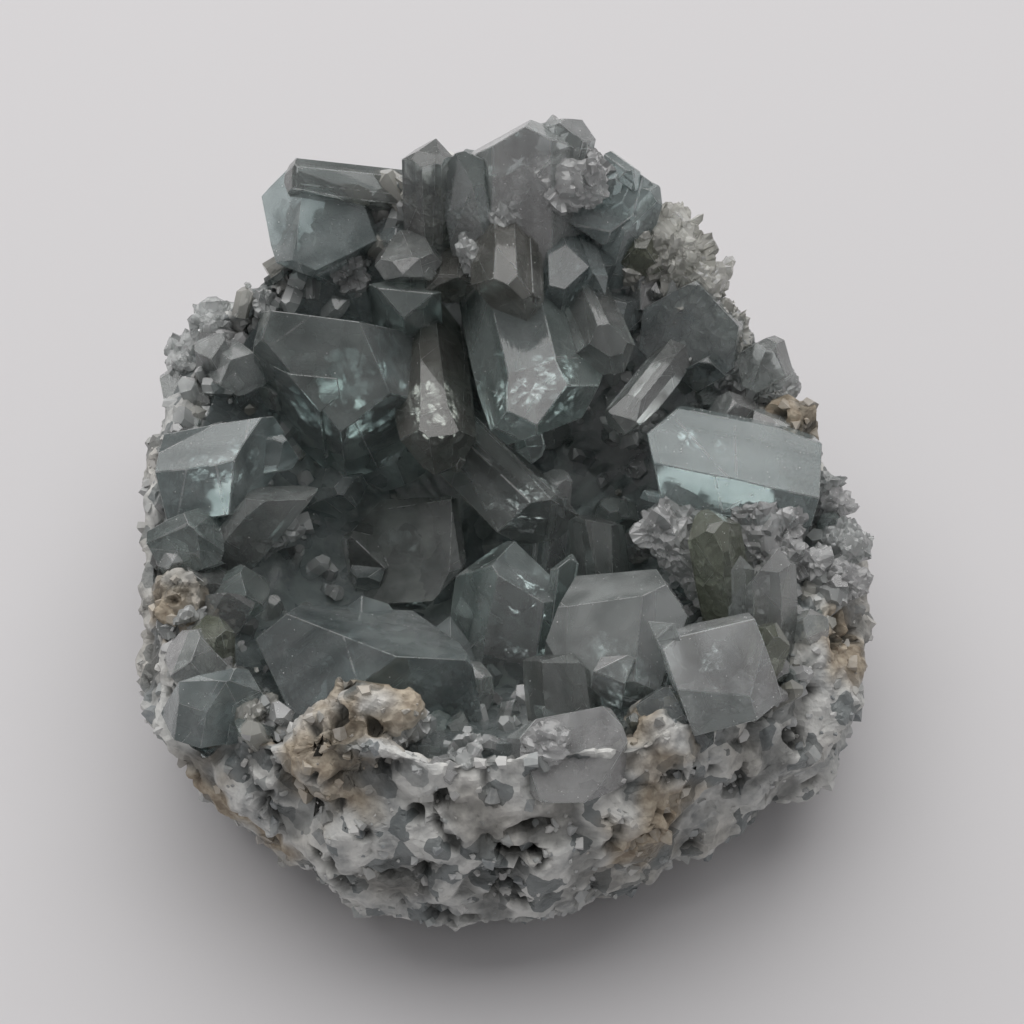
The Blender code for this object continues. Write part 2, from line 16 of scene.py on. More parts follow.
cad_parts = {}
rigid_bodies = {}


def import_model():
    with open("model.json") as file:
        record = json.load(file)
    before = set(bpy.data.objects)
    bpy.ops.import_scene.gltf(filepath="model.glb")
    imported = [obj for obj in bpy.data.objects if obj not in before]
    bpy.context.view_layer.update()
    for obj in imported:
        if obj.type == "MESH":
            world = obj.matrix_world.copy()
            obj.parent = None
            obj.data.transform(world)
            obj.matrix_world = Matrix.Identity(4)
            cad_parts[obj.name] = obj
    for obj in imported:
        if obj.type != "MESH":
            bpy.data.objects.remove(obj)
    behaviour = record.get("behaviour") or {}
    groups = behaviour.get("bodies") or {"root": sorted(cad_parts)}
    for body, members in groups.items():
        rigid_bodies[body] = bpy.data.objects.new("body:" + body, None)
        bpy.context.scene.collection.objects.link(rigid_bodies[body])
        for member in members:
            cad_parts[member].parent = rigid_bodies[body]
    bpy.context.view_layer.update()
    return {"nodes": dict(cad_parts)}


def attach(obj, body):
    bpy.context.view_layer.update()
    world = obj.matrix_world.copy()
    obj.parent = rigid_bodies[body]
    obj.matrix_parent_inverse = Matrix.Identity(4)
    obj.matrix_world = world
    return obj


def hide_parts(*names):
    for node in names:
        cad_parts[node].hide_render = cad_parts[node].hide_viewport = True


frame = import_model()

MM = 0.001
# A length so short that it counts as none
NO_LENGTH = 1e-6

# The photograph's view: how steeply it looks down, from how far, at what, and its lens
VIEW_RISE = math.radians(55)
VIEW_DISTANCE = 450 * MM
VIEW_TARGET = Vector((1, 5, 25)) * MM
VIEW_LENS = 116.3
SENSOR = 36
VIEW_RIGHT = Vector((1, 0, 0))
VIEW_UP = Vector((0, math.sin(VIEW_RISE), math.cos(VIEW_RISE)))
VIEW_AHEAD = Vector((0, math.cos(VIEW_RISE), -math.sin(VIEW_RISE)))
VIEW_EYE = VIEW_TARGET - VIEW_AHEAD * VIEW_DISTANCE

# Celestite's unit cell, which sets the angle between every two crystal faces
CELL_A = 8.36
CELL_B = 5.35
CELL_C = 6.87

# The bowl that the crystals root in: its lip every 30 degrees from +X, and its floor
LIP_RADII = (44, 41, 41, 43, 45.5, 48, 46, 48, 46, 43, 43, 46)
LIP_HEIGHTS = (27, 31, 45, 55, 49, 35, 28, 28, 34, 37, 34, 29)
BOWL_CENTRE = Vector((-5, 3, 0)) * MM
BOWL_FLOOR = 11 * MM
BOWL_POWER = 2.0
BED_SHARES = (0.25, 0.5, 0.75, 0.94)
BED_TOP_REACH = 0.96
BED_OVER = 4 * MM
BED_UNDER = 0.5 * MM
BED_SECTORS = 54

# How far a crystal's faces lie from even, and how far {100} cuts its end short, by kind of end
UNEVEN = 0.1
END_SHORT = {"chisel": 0, "block": 0.16, "flat": 0.42, "slant": 0.6}
BLOCK_SPARE = 1.3
CUT_LIMIT = 1e-7

# How a crystal is followed back from its tip to its root
ROOT_STEP = 0.5 * MM
ROOT_STEPS = 100
ROOT_REACH = 0.96
END_LENGTH = 0.4
SHORTEST = 0.3

# Small crystals that fill the bowl and the lip between the large ones
SEED = 11
FILLER_COUNT = 32
FILLER_SIZE = (4.5, 8)
FILLER_REACH = 0.93
FILLER_LEAN = 62
FILLER_TURN = 35
FILLER_TILT = 18
FILLER_LOOKS = ("clear", "slate", "grey", "frost", "pale")
RIM_COUNT = 28
RIM_SIZE = (4, 7)
RIM_SHARE = 0.92
RIM_PLACE = (0.2, 0.8)
RIM_TURN = 40
RIM_RISE = (45, 80)
RIM_LOOKS = ("frost", "white", "pale", "straw")
# Where crust covers the lip and no crystals stand on it (degrees)
RIM_BARE = (232, 258)
SMALL_THICKNESS = (0.6, 1)
SMALL_BEVEL = (0.4, 0.9)
SMALL_LENGTH = 1.8
SMALL_STAND = 0.9

# Finish of a crystal: the area (mm2) from which a face breaks, how far slight and steep breaks
# tilt (degrees) and where they start (share of the face's size), and the share of steep ones
BREAK_AREA = 12
SLIGHT_TILT = (1, 3.5)
SLIGHT_PLACE = 0.3
STEEP_TILT = (4, 11)
STEEP_PLACE = 0.38
STEEP_SHARE = 0.4
# The face size (mm) above which breaks tilt less, and how many times BREAK_AREA breaks twice
BREAK_WIDTH = 13
TWICE_BROKEN = 3
# Faces that point this far back down the crystal stay whole
BACKWARD = -0.9
# Degrees by which a direction is tilted only to pick a side of it
ASIDE = 45
# What no break reaches: points on a crystal's axis, by how far back they lie (shares of its
# breadth and of its length), and the room round them (share of its thickness)
CORE = ((0.05, 0, 0), (0.5, 0, 0.3), (0, 0.9, 0.2))
# Chips: depth (mm) and its limit (share of breadth), how far back from the tip (share of breadth),
# how far they turn (degrees) and how far forward they face at least, how many at the least, and
# the breadth (mm) that adds one more
CHIP_DEPTH = (0.25, 1.1)
CHIP_LIMIT = 0.1
CHIP_REACH = 0.8
CHIP_TURN = (5, 35)
CHIP_FORWARD = 0.25
CHIPS = 2
CHIP_BREADTH = 6
# How far edges are rounded on each side, and how near points are merged before that
EDGE_WIDTH = 0.12 * MM
MERGE = 0.02 * MM
# How much the shade of crystals differs at random, how much painted light and shade, standing for
# light refracted through them, differs from facet to facet, and how fast it changes over directions
SHADES = (0.88, 1.1)
TINY_SHADES = (0.85, 1.1)
FACET_PAINTED_LIGHT = 0.5
FACET_LIGHT_SPREAD = 1.7
# Patterns are moved by up to this (mm), so that no two crystals show the same one
SHIFT = 900
# Parallel growths: the breadth (mm) that gets one, their breadth, place and set-back (shares of
# the crystal's breadth), their height and thickness (shares of its thickness), how far they stand
# out (mm), and where their bevels start
STEP_BREADTH = 9
GROWTH_PART = (0.22, 0.42)
GROWTH_BESIDE = (0.5, 1)
GROWTH_BACK = (0.06, 0.35)
GROWTH_ABOVE = (0.1, 0.3)
GROWTH_THICKNESS = (0.4, 0.8)
GROWTH_PROUD = (0.15, 0.4)
GROWTH_BEVEL = 0.8
# Sugary crystals: fineness, and width (mm) and slope of the small facets on them, coarse and fine
SUGAR_FINENESS = 0.55 * MM
SUGAR = ((3.4, 1.3), (1.6, 0.6))
SUGARY = ("frost", "white", "straw")

# Tiny crystals between the small ones and on the lip: how many, their sizes (mm) and how far the
# smaller ones prevail, how far out they stand (shares of the lip's radius), how they turn, rise and
# tilt (degrees), how high they stand at the bed's edge (share of its layer), and how many of them
# stand on the lip (share)
TINY_COUNT = 1100
TINY_VARIANTS = 8
TINY_LOOKS = ("frost", "frost", "pale", "clear", "grey", "white", "straw")
TINY_SIZE = (0.9, 3.4)
TINY_POWER = 1.7
TINY_LIP = (0.86, 1.0)
TINY_BOWL = (0.2, 1)
TINY_TURN = 80
TINY_RISE = (35, 85)
TINY_TILT = 30
TINY_OVER = 0.35
LIP_PART = 0.6
LIP_FROM = 0.8
# Stretches of the lip where tiny crystals are thickest: middle and spread (degrees)
THICK_STRETCHES = ((45, 40), (0, 30), (180, 40), (212, 15))

# Veils inside the crystals of at least this breadth (mm): how many, their radius (share of breadth
# or thickness), their waves' height (mm) and length (share of the radius), and how narrow they are
VEILED_BREADTH = 11
VEIL_COUNT = 5
VEIL_CORNERS = 18
VEIL_SIZE = (0.12, 0.27)
VEIL_WAVE = 0.5
VEIL_WAVE_SIZE = 0.6
VEIL_STRETCH = (0.5, 1)
VEIL_SHEET = 0.03 * MM
# How far veils turn off the cleavage (degrees), how far back they lie (share of breadth), and how
# far off the axis (share of breadth and of thickness)
VEIL_TILT = (2, 14)
VEIL_BACK = (0.42, 0.95)
VEIL_OFF_AXIS = (-0.12, 0.12)

# The rock: how far in it is made fine, the length of its fine edges and in how many passes, the
# heights up to which it isn't smoothed and isn't made fine, and how often it is smoothed
ROCK_FINE_FROM = 0.74
ROCK_EDGE = 0.85 * MM
ROCK_PASSES = 5
ROCK_FOOT = 1 * MM
ROCK_FLAT = 0.1 * MM
ROCK_SMOOTHED = 8
# Its relief: width and stand (mm) of lumps, knobs and grit, and the height (mm) where it is full
ROCK_RELIEF = ((8, 1.7), (3.4, 0.8), (1.4, 0.35))
RELIEF_FOOT = 2
# Where the relief and the grains set in, as shares of the lip's radius
RELIEF_FROM = (ROCK_FINE_FROM - 0.03, ROCK_FINE_FROM + 0.05)
GRAINS_FROM = ROCK_FINE_FROM + 0.08
# How steep knobs are and their share of the relief, what is taken off so that the rock keeps its
# size, how far the relief is bent and over what length (mm), and where its noise is taken
KNOB_STEEPNESS = 1.6
KNOB_SHARE = 0.6
RELIEF_LOWERED = 0.3
RELIEF_BEND = 1.1
RELIEF_BEND_SIZE = 2.5
RELIEF_SHIFT = Vector((5, 9, 2))
# Pits: width, depth and the length that breaks them up (mm), the noise where they set in and are
# full and where they break up, where it is taken, and how much painted shade low places get, as pits do
PIT_WIDTH = 4
PIT_DEPTH = 1.8
PIT_BREAKS = 1.8
PIT_EDGE = (0.2, 0.42)
PIT_GAPS = (-0.3, 0.2)
PIT_SHIFT = Vector((7, 3, 1))
LOW_PLACE_SHADE = 0.6
# Grains on the rock: how many, their size (mm), how deep they are set in (share of their size),
# from what height, how far their axes tilt (degrees), and how tan they are on a stain
GRAIN_COUNT = 1900
GRAIN_SIZE = (0.4, 2.0)
GRAIN_SUNK = -0.12
GRAIN_FOOT = 1.5 * MM
GRAIN_TILT = 50
GRAIN_TAN_SHARE = (0.7, 1.3)
# Dust on the crystals: how many specks, their size (mm), how level a face holds them, their whites
DUST_COUNT = 2600
DUST_SIZE = (0.06, 0.17)
DUST_LEVEL = 0.35
DUST_WHITES = (0.55, 0.8)
# Chunks that grains and dust are copied from: how many, how often and how near the middle (mm) they
# are cut, and how broad and high their copies are (share of the width)
CHUNK_VARIANTS = 6
CHUNK_CUTS = 5
CHUNK_REACH = (0.36, 0.5)
CHUNK_BREADTH = (0.7, 1)
CHUNK_HEIGHT = (0.6, 1)
# Stains and cavities: how crooked their outlines are and over what length (mm), where they fade
# (share of the radius), and the faint stains all over, with their size (mm) and where they set in
STAIN_BEND = 0.5
STAIN_BEND_SIZE = 3.5
STAIN_FADE = (0.5, 1.2)
STAIN_FAINT = 0.25
STAIN_FAINT_SIZE = 9
STAIN_FAINT_EDGE = (0.05, 0.5)
CAVITY_BEND = 0.7
CAVITY_BEND_SIZE = 3
CAVITY_FADE = (0.75, 1.0)
# Tan patches: where they show in the view (mm across and up), their height and radius
STAINS = (
    (-24, -33, 33, 8), (-18, -27, 36, 7.5), (19, -31, 31, 7), (19, -42, 24, 8), (-33.5, -28.5, 32, 4),
    (-6, -36, 30, 4.5), (-40, -38, 18, 7), (-33, -46, 12, 6), (45.7, -17.4, 27, 7), (-45.5, -12.3, 30, 6),
    (38.5, 11.8, 32, 6))
# Cavities where crystals broke out: where they show, their height, radius and depth
CAVITIES = (
    (0.4, -43.5, 25, 5.5, 3.5), (-12.5, -38, 30, 4, 3), (-21.5, -37.5, 28, 1.6, 1.5),
    (-22, -41.5, 26, 1.2, 1.5), (31, -38.5, 22, 3.5, 1.8), (22, -43.5, 22, 2.2, 1.8), (46, -15, 28, 2.5, 2))

# Colours of the grains: greys and whites, and tans and browns
GRAIN_GREYS = (
    (0.22, 0.24, 0.25), (0.34, 0.36, 0.36), (0.42, 0.43, 0.43), (0.48, 0.49, 0.48), (0.54, 0.54, 0.53))
GRAIN_TANS = ((0.36, 0.31, 0.24), (0.30, 0.25, 0.19), (0.42, 0.37, 0.30), (0.24, 0.20, 0.15))

# Patterns of noise: scale, detail, distortion, and the values where each sets in and is full. In the
# crystals they go by mm on the crystal's own axes, in the rock by m
BANDS = (1, 1, 0.3, 0.34, 0.64)
MIST = (0.1, 1.5, 0.6, 0.34, 0.64)
WISPS = (0.5, 5, 1.5, 0.56, 0.76)
WISP_PLACES = (0.22, 2, 0, 0.50, 0.64)
SPECKS = (2.2, 3, 0, 0.64, 0.74)
# Stretches of rounded edges that get painted highlights
EDGE_HIGHLIGHT_STRETCHES = (0.6, 3, 0, 0.38, 0.55)
SMEARS = (0.5, 4, 0, 0.4, 0.7)
ROCK_PATCHES = (190, 5, 0.5, 0.38, 0.62)
# How bands and fine growth lines are drawn out along a crystal
BAND_SCALES = (0.04, 0.34, 0.26)
LINE_SCALES = (0.05, 3, 2)
# Crystals: how much bands and mist lighten them, partly as growth zones and partly as painted light
# refracted through them, from where painted shade darkens them towards the root and by how much, how
# far tints go to black and white, the cloud that all have, the most white, and the roughness that
# smears and white parts add
BAND_SHARE = 0.5
MIST_SHARE = 0.5
ROOT_SHADE_FROM = 0.25
ROOT_PAINTED_SHADE = 0.5
TO_BLACK = 0.5
TO_WHITE = 0.35
LEAST_CLOUD = 0.25
MOST_WHITE = 0.85
SMEAR_ROUGHNESS = 0.1
WHITE_ROUGHNESS = 0.3
# Grit: the noise where it sets in and is full, and its scale on rock and on grains
GRIT_EDGE = (0.35, 0.7)
ROCK_GRIT_SCALE = 950
GRAIN_GRIT_SCALE = 1500
# Windows of crystal in the rock: scale, how their outlines are bent, which cells are windows, and
# how much they show in the grey and in the brown
WINDOW_SCALE = 300
WINDOW_BEND_SCALE = 400
WINDOW_BEND = 1.6 * MM
WINDOW_EDGE = (0.36, 0.30)
WINDOW_SHARE = 0.8
BROWN_WINDOW_SHARE = 0.5
CRUMB_SHARE = 0.45
# Painted shade in pits, cavities and low places: where it sets in and is full, and how dark it gets
HOLLOW_SHADE_EDGE = (0.15, 0.9)
HOLLOW_SHADE_STRENGTH = 0.85
# Roughness of the rock, what windows take off it, and the stand of its grit
ROCK_ROUGHNESS = 0.8
WINDOW_GLOSS = 0.45
GRIT_STRENGTH = 0.5
GRIT_DEPTH = 0.25 * MM
# Grains: how much their grit shows and adds to their roughness, and the least roughness
GRAIN_GRIT = 0.3
GRAIN_ROUGHNESS = 0.4
# Veils: the scale, detail and distortion of their streaks, their outline, opacity and streaky
# colour by the streaks' noise, and their roughness
STREAKS = (400, 5, 1.0)
VEIL_OUTLINE = (0.56, 0.68)
VEIL_OPACITY = 0.85
VEIL_TONES = (0.4, 0.65)
VEIL_ROUGHNESS = 0.2
# Colours in the crystals and their veils
WHITE = (1, 1, 1, 1)
BLACK = (0, 0, 0, 1)
# White of wisps and specks, and of the painted highlights on edges
WISP_AND_HIGHLIGHT_WHITE = (0.92, 0.94, 0.94, 1)
VEIL_GREY = (0.55, 0.60, 0.60, 1)
VEIL_WHITE = (0.92, 0.95, 0.95, 1)
CRYSTAL_INDEX = 1.62
LINE_STRENGTH = 0.25
LINE_DEPTH = 0.08 * MM
# Colours of the rock: its greys, crumbs, windows of crystal, browns, and the painted shade in its hollows
ROCK_GREY = (0.31, 0.32, 0.32, 1)
ROCK_WHITE = (0.62, 0.62, 0.60, 1)
ROCK_CRUMBS = (0.70, 0.70, 0.67, 1)
ROCK_WINDOWS = (0.11, 0.13, 0.135, 1)
ROCK_BROWN = (0.26, 0.21, 0.155, 1)
ROCK_TAN = (0.47, 0.41, 0.32, 1)
ROCK_DARK_BROWN = (0.10, 0.09, 0.07, 1)
ROCK_HOLLOW_SHADE = (0.035, 0.038, 0.034, 1)
GRAIN_CRUMBS = (0.60, 0.60, 0.58, 1)

FLOOR_SIZE = 4
FLOOR_COLOUR = (0.62, 0.61, 0.62, 1)
FLOOR_ROUGHNESS = 0.9
WORLD_COLOUR = (0.84, 0.83, 0.84, 1)
WORLD_STRENGTH = 0.4
# The light: its place, width and length (m), power (W) and colour
LIGHT_PLACE = (-0.1, 0.6, 1.0)
LIGHT_SIZE = (2.0, 1.6)
LIGHT_POWER = 19
LIGHT_COLOUR = (1, 0.99, 0.98)

Crystal = namedtuple(
    "Crystal", "name across up height heading rise spin breadth thickness lean bevel end look")

# One row a crystal, as in the solid model: where its tip shows in the view (mm across and up) and
# how high it is, where it points (degrees round, up and about its axis), breadth, thickness, how
# far its end leans, where its bevels start, its end, and its look, one of those in LOOKS
CRYSTALS = (
    Crystal("great_left", -21.9, 28.6, 50, 263, 85, 90, 28, 25, 0.0, 0.85, "chisel", "clear"),
    Crystal("rear_left_large", -28.5, 41, 52, 245, 56, 0, 18, 15, 0.2, 0.8, "block", "blue"),
    Crystal("rear_left_window", -30.5, 45.5, 54, 188, 20, 20, 6.5, 6, 0.0, 0.9, "flat", "dark"),
    Crystal("low_left_rear", -41.5, 29, 37, 140, 58, 10, 10, 9, 0.0, 0.6, "block", "frost"),
    Crystal("left_rear_mass", -46, 24.5, 33, 180, 60, 30, 11, 11, 0.2, 0.5, "chisel", "frost"),
    Crystal("left_rear_low", -46.5, 18.5, 31, 190, 60, 0, 10, 10, 0.0, 0.4, "chisel", "pale"),
    Crystal("left_rim_1", -47, 13, 30, 180, 50, 20, 8, 8, 0.0, 0.7, "block", "pale"),
    Crystal("left_rim_2", -47, 6, 31, 185, 50, 0, 9, 8, 0.0, 0.6, "chisel", "pale"),
    Crystal("lit_plate", -35, 18, 38, 300, 30, 0, 8, 6, 0.0, 0.6, "chisel", "pale"),
    Crystal("back_small_prism", -11.5, 49.5, 60, 90, 75, 10, 7, 6, 0.0, 0.8, "block", "grey"),
    Crystal("peak", 1.5, 55.5, 63, 90, 60, 0, 16, 12, 0.0, 0.9, "chisel", "pale"),
    Crystal("peak_left", -6.5, 50.5, 60, 110, 60, 0, 9, 9, 0.3, 0.5, "chisel", "clear"),
    Crystal("frosted_rear", -3, 38, 55, 268, 38, 20, 17, 14, 0.0, 0.7, "chisel", "frost"),
    Crystal("slab_right_of_peak", 16.5, 40, 54, 300, 22, 0, 13, 9, 0.3, 0.7, "chisel", "blue"),
    Crystal("rear_band", 7, 44, 58, 270, 32, 0, 12, 7, 0.0, 0.7, "block", "white"),
    Crystal("peak_right", 8, 53.5, 61, 60, 60, 30, 9, 8, 0.0, 0.6, "block", "pale"),
    Crystal("peak_far_right", 13.5, 49, 57, 40, 60, 10, 8, 7, 0.0, 0.5, "chisel", "blue"),
    Crystal("peak_far_right_2", 17.5, 44.5, 53, 60, 60, 0, 8, 8, 0.0, 0.7, "block", "blue"),
    Crystal("striated_triangle", -14, 33, 50, 270, 40, 0, 9, 8, 0.0, 0.2, "chisel", "grey"),
    Crystal("hanging", -9.5, 7, 38, 275, 10, 0, 11, 12, 0.0, 0.5, "chisel", "smoky"),
    Crystal("column", 6, 9, 42, 280, 5, 10, 17, 15, -0.3, 0.5, "chisel", "clear"),
    Crystal("column_upper", -0.5, 27, 50, 272, 5, 0, 9.5, 9, 0.0, 0.7, "block", "smoky"),
    Crystal("slate_rear", 10, 27, 48, 280, 20, 20, 12, 11, 0.3, 0.6, "chisel", "slate"),
    Crystal("lit_below_slate", 13.5, 21, 46, 285, 12, 0, 8, 8, 0.0, 0.6, "block", "grey"),
    Crystal("dark_box", -8.5, 29.5, 46, 268, 24, 0, 7, 6.5, 0.0, 0.9, "flat", "smoky"),
    Crystal("olive_slab", 20.5, 32, 47, 290, 20, 0, 8, 7, 0.0, 0.3, "chisel", "olive"),
    Crystal("rim_right_rear_1", 22, 41.5, 50, 45, 64, 0, 10, 10, 0.0, 0.7, "block", "straw"),
    Crystal("rim_right_rear_2", 25.5, 38, 47, 45, 60, 20, 8, 7, 0.0, 0.6, "chisel", "straw"),
    Crystal("rim_right_rear_3", 27.5, 34, 44, 30, 60, 0, 8, 8, 0.0, 0.6, "block", "straw"),
    Crystal("rim_right_rear_4", 31, 27.5, 40, 30, 58, 40, 8, 7, 0.0, 0.7, "block", "straw"),
    Crystal("rim_right_rear_5", 34, 24, 37, 20, 60, 10, 7, 7, 0.0, 0.5, "chisel", "frost"),
    Crystal("rim_right_rear_6", 37, 19, 33, 10, 55, 0, 9, 9, 0.0, 0.7, "block", "frost"),
    Crystal("right_middle", 23, 23.5, 42, 250, 45, 96, 17, 13, 0.2, 0.9, "chisel", "slate"),
    Crystal("right_grey_block", 33, 19.5, 38, 240, 40, 0, 8, 8, 0.0, 0.6, "block", "grey"),
    Crystal("right_arrow", 15.5, 9, 38, 176, 13, -5, 16, 8, 0.2, 0.9, "chisel", "blue"),
    Crystal("small_by_arrow", 14, 11, 38, 240, 10, 0, 6, 5, 0.0, 0.3, "chisel", "grey"),
    Crystal("left_shield", -29.8, 7.5, 38, 355, 20, 0, 15, 10, 0.3, 0.7, "chisel", "blue"),
    Crystal("left_teal", -40, -3, 33, 0, 35, 0, 10, 10, 0.0, 0.8, "block", "clear"),
    Crystal("tilted_prism", -29, 5.5, 38, 30, 45, 0, 8.5, 9, 0.0, 0.8, "flat", "grey"),
    Crystal("centre_slate", -15, 8, 28, 300, 50, 0, 12, 10, 0.0, 0.7, "chisel", "slate"),
    Crystal("dark_glass", -14, -4, 26, 300, 66, 20, 19, 15, 0.0, 0.8, "flat", "dark"),
    Crystal("centre_slab", 6, -4, 32, 305, 10, 0, 11, 9, 0.0, 0.8, "flat", "grey"),
    Crystal("centre_light", 6, 5.5, 33, 80, 60, 0, 5, 5, 0.0, 0.6, "block", "pale"),
    Crystal("front_centre", 2, -3.5, 34, 80, 50, 0, 18, 12, -0.4, 0.8, "block", "clear"),
    Crystal("dark_right_centre", 11, 1, 32, 100, 50, 0, 8, 7, 0.0, 0.7, "block", "dark"),
    Crystal("white_right", 18, 0, 36, 150, 40, 0, 8, 7, 0.0, 0.6, "block", "white"),
    Crystal("light_grey_right", 18.5, 2.5, 36, 165, 30, 0, 7, 5, 0.0, 0.7, "chisel", "frost"),
    Crystal("olive_right", 27, 0, 39, 110, 55, 0, 8, 8, 0.0, 0.6, "chisel", "olive"),
    Crystal("frosted_right_1", 33, 2.5, 36, 100, 50, 20, 8, 8, 0.0, 0.6, "block", "white"),
    Crystal("frosted_right_2", 38, 2, 35, 60, 50, 0, 8, 8, 0.0, 0.6, "chisel", "white"),
    Crystal("frosted_right_3", 41, -2, 34, 30, 45, 30, 8, 7, 0.0, 0.6, "block", "white"),
    Crystal("grey_right", 34, -5.5, 40, 95, 60, 0, 9, 8, 0.0, 0.7, "block", "grey"),
    Crystal("dark_green_right", 36, -15, 38, 60, 50, 0, 6, 6, 0.0, 0.6, "chisel", "olive"),
    Crystal("front_right_inner", 14.5, -13, 43, 300, 84, 90, 20, 18, 0.0, 0.85, "chisel", "pale"),
    Crystal("front_right_outer", 25, -12, 46, 122, 52, 20, 15, 13, 0.0, 0.7, "block", "pale"),
    Crystal("front_great", -8, -14.5, 33, 27, 28, 118, 28, 29, 0.0, 1.0, "slant", "slate"),
    Crystal("left_low_white", -46, -17.5, 34, 150, 50, 0, 8, 7, 0.0, 0.8, "block", "pale"),
    Crystal("left_low_blue", -40, -20, 36, 70, 58, 0, 14, 12, 0.0, 0.6, "block", "blue"),
    Crystal("left_low_grey", -40, -5, 32, 60, 45, 0, 8, 7, 0.0, 0.6, "chisel", "grey"),
    Crystal("left_low_grey_2", -37, -9, 31, 45, 45, 0, 8, 7, 0.0, 0.6, "block", "grey"),
    Crystal("left_low_olive", -41, -14, 34, 90, 50, 0, 6, 6, 0.0, 0.6, "chisel", "olive"),
    Crystal("front_white_block", 8, -26.5, 40, 84, 58, 0, 15, 12, 0.0, 0.8, "block", "pale"),
    Crystal("stacked_plates", 6, -19.5, 36, 100, 40, 0, 10, 5, 0.0, 0.8, "flat", "dark"),
    Crystal("rim_right_1", 43, 7, 33, 10, 50, 0, 7, 6, 0.0, 0.6, "block", "frost"),
    Crystal("rim_right_2", 46, 3, 31, 0, 50, 0, 6, 6, 0.0, 0.6, "chisel", "white"),
    Crystal("rim_right_3", 47.5, -3, 30, 350, 50, 0, 7, 6, 0.0, 0.6, "block", "frost"),
    Crystal("rim_right_4", 48, -8, 30, 0, 50, 0, 6, 6, 0.0, 0.6, "chisel", "white"),
)

# Looks: the group of crystals that shares a material, the tint of the crystal and its cloudiness
LOOKS = {
    "clear": ("clear", (0.76, 0.90, 0.87), 0.3),
    "slate": ("clear", (0.64, 0.75, 0.76), 0.35),
    "grey": ("clear", (0.82, 0.86, 0.84), 0.45),
    "smoky": ("clear", (0.54, 0.53, 0.47), 0.25),
    "olive": ("clear", (0.50, 0.54, 0.38), 0.3),
    "dark": ("clear", (0.46, 0.50, 0.48), 0.15),
    "blue": ("milky", (0.55, 0.68, 0.68), 0.4),
    "pale": ("milky", (0.90, 0.97, 0.95), 0.65),
    "straw": ("frosted", (0.86, 0.85, 0.76), 0.5),
    "frost": ("frosted", (0.82, 0.86, 0.85), 0.6),
    "white": ("frosted", (0.95, 0.96, 0.96), 0.9),
}
# Materials of the groups: transmission, least roughness, and absorption's colour and density (1/m)
GROUPS = {
    "clear": (0.84, 0.05, (0.48, 0.61, 0.595, 1), 42),
    "milky": (0.72, 0.08, (0.50, 0.61, 0.60, 1), 45),
    "frosted": (0.58, 0.12, (0.57, 0.67, 0.65, 1), 40),
}


def deselect_all():
    """Leave edit mode and select nothing."""
    if bpy.context.mode != "OBJECT":
        bpy.ops.object.mode_set(mode="OBJECT")
    bpy.ops.object.select_all(action="DESELECT")


def make_active(piece):
    """Select one object alone and make it the active one."""
    deselect_all()
    piece.select_set(True)
    bpy.context.view_layer.objects.active = piece


def new_collection(name):
    """A new collection in the scene."""
    made = bpy.data.collections.new(name)
    bpy.context.scene.collection.children.link(made)
    return made


def end_as_triangles():
    """Split the faces of the mesh being edited into triangles and leave edit mode."""
    bpy.ops.mesh.select_all(action="SELECT")
    bpy.ops.mesh.quads_convert_to_tris()
    bpy.ops.object.mode_set(mode="OBJECT")


def any_shift(finish):
    """A place that chance picks, to take a pattern from."""
    return Vector([finish.uniform(0, SHIFT) for _ in range(3)])


def join_pieces(pieces, name):
    """Join pieces into the first of them, under a name."""
    deselect_all()
    for piece in pieces:
        piece.select_set(True)
    bpy.context.view_layer.objects.active = pieces[0]
    bpy.ops.object.join()
    pieces[0].name = name
    return pieces[0]


def face_normal(h, k, l):
    """Unit normal of a crystal face, from its indices and the unit cell."""
    return Vector((h / CELL_A, k / CELL_B, l / CELL_C)).normalized()


def view_point(across, up, height):
    """The point at a height (mm) that shows in the view at across, up (mm)."""
    ray = VIEW_TARGET + VIEW_RIGHT * across * MM + VIEW_UP * up * MM - VIEW_EYE
    return VIEW_EYE + ray * ((height * MM - VIEW_EYE.z) / ray.z)


def growth_frame(heading, rise, spin):
    """Rotation whose X runs along the crystal, Y across its breadth and Z through its thickness."""
    turn = Matrix.Rotation(math.radians(heading), 3, "Z")
    lift = Matrix.Rotation(math.radians(-rise), 3, "Y")
    roll = Matrix.Rotation(math.radians(spin), 3, "X")
    return turn @ lift @ roll


def around(values, azimuth):
    """Smooth value at an azimuth (radians) from values spaced evenly round the circle."""
    place = azimuth / math.tau % 1 * len(values)
    first = int(place)
    share = place - first
    before, here, after, beyond = (values[(first + step) % len(values)] for step in (-1, 0, 1, 2))
    slope_here = (after - before) / 2
    slope_after = (beyond - here) / 2
    rest = share * (share - 1)
    return (here + (after - here) * share * share * (3 - 2 * share)
            + rest * ((share - 1) * slope_here + share * slope_after))


def bowl_point(azimuth, share):
    """A point of the bowl's surface, from its centre (0) out to the lip (1)."""
    lip = around(LIP_RADII, azimuth) * MM
    height = around(LIP_HEIGHTS, azimuth) * MM
    rim = Vector((math.cos(azimuth), math.sin(azimuth), 0)) * lip
    spot = BOWL_CENTRE.lerp(rim, share)
    spot.z = BOWL_FLOOR + (height - BOWL_FLOOR) * share ** BOWL_POWER
    return spot


def reach_share(point):
    """How far out a point is, as a share of the lip's radius there."""
    azimuth = math.atan2(point.y, point.x)
    return math.hypot(point.x, point.y) / (around(LIP_RADII, azimuth) * MM)


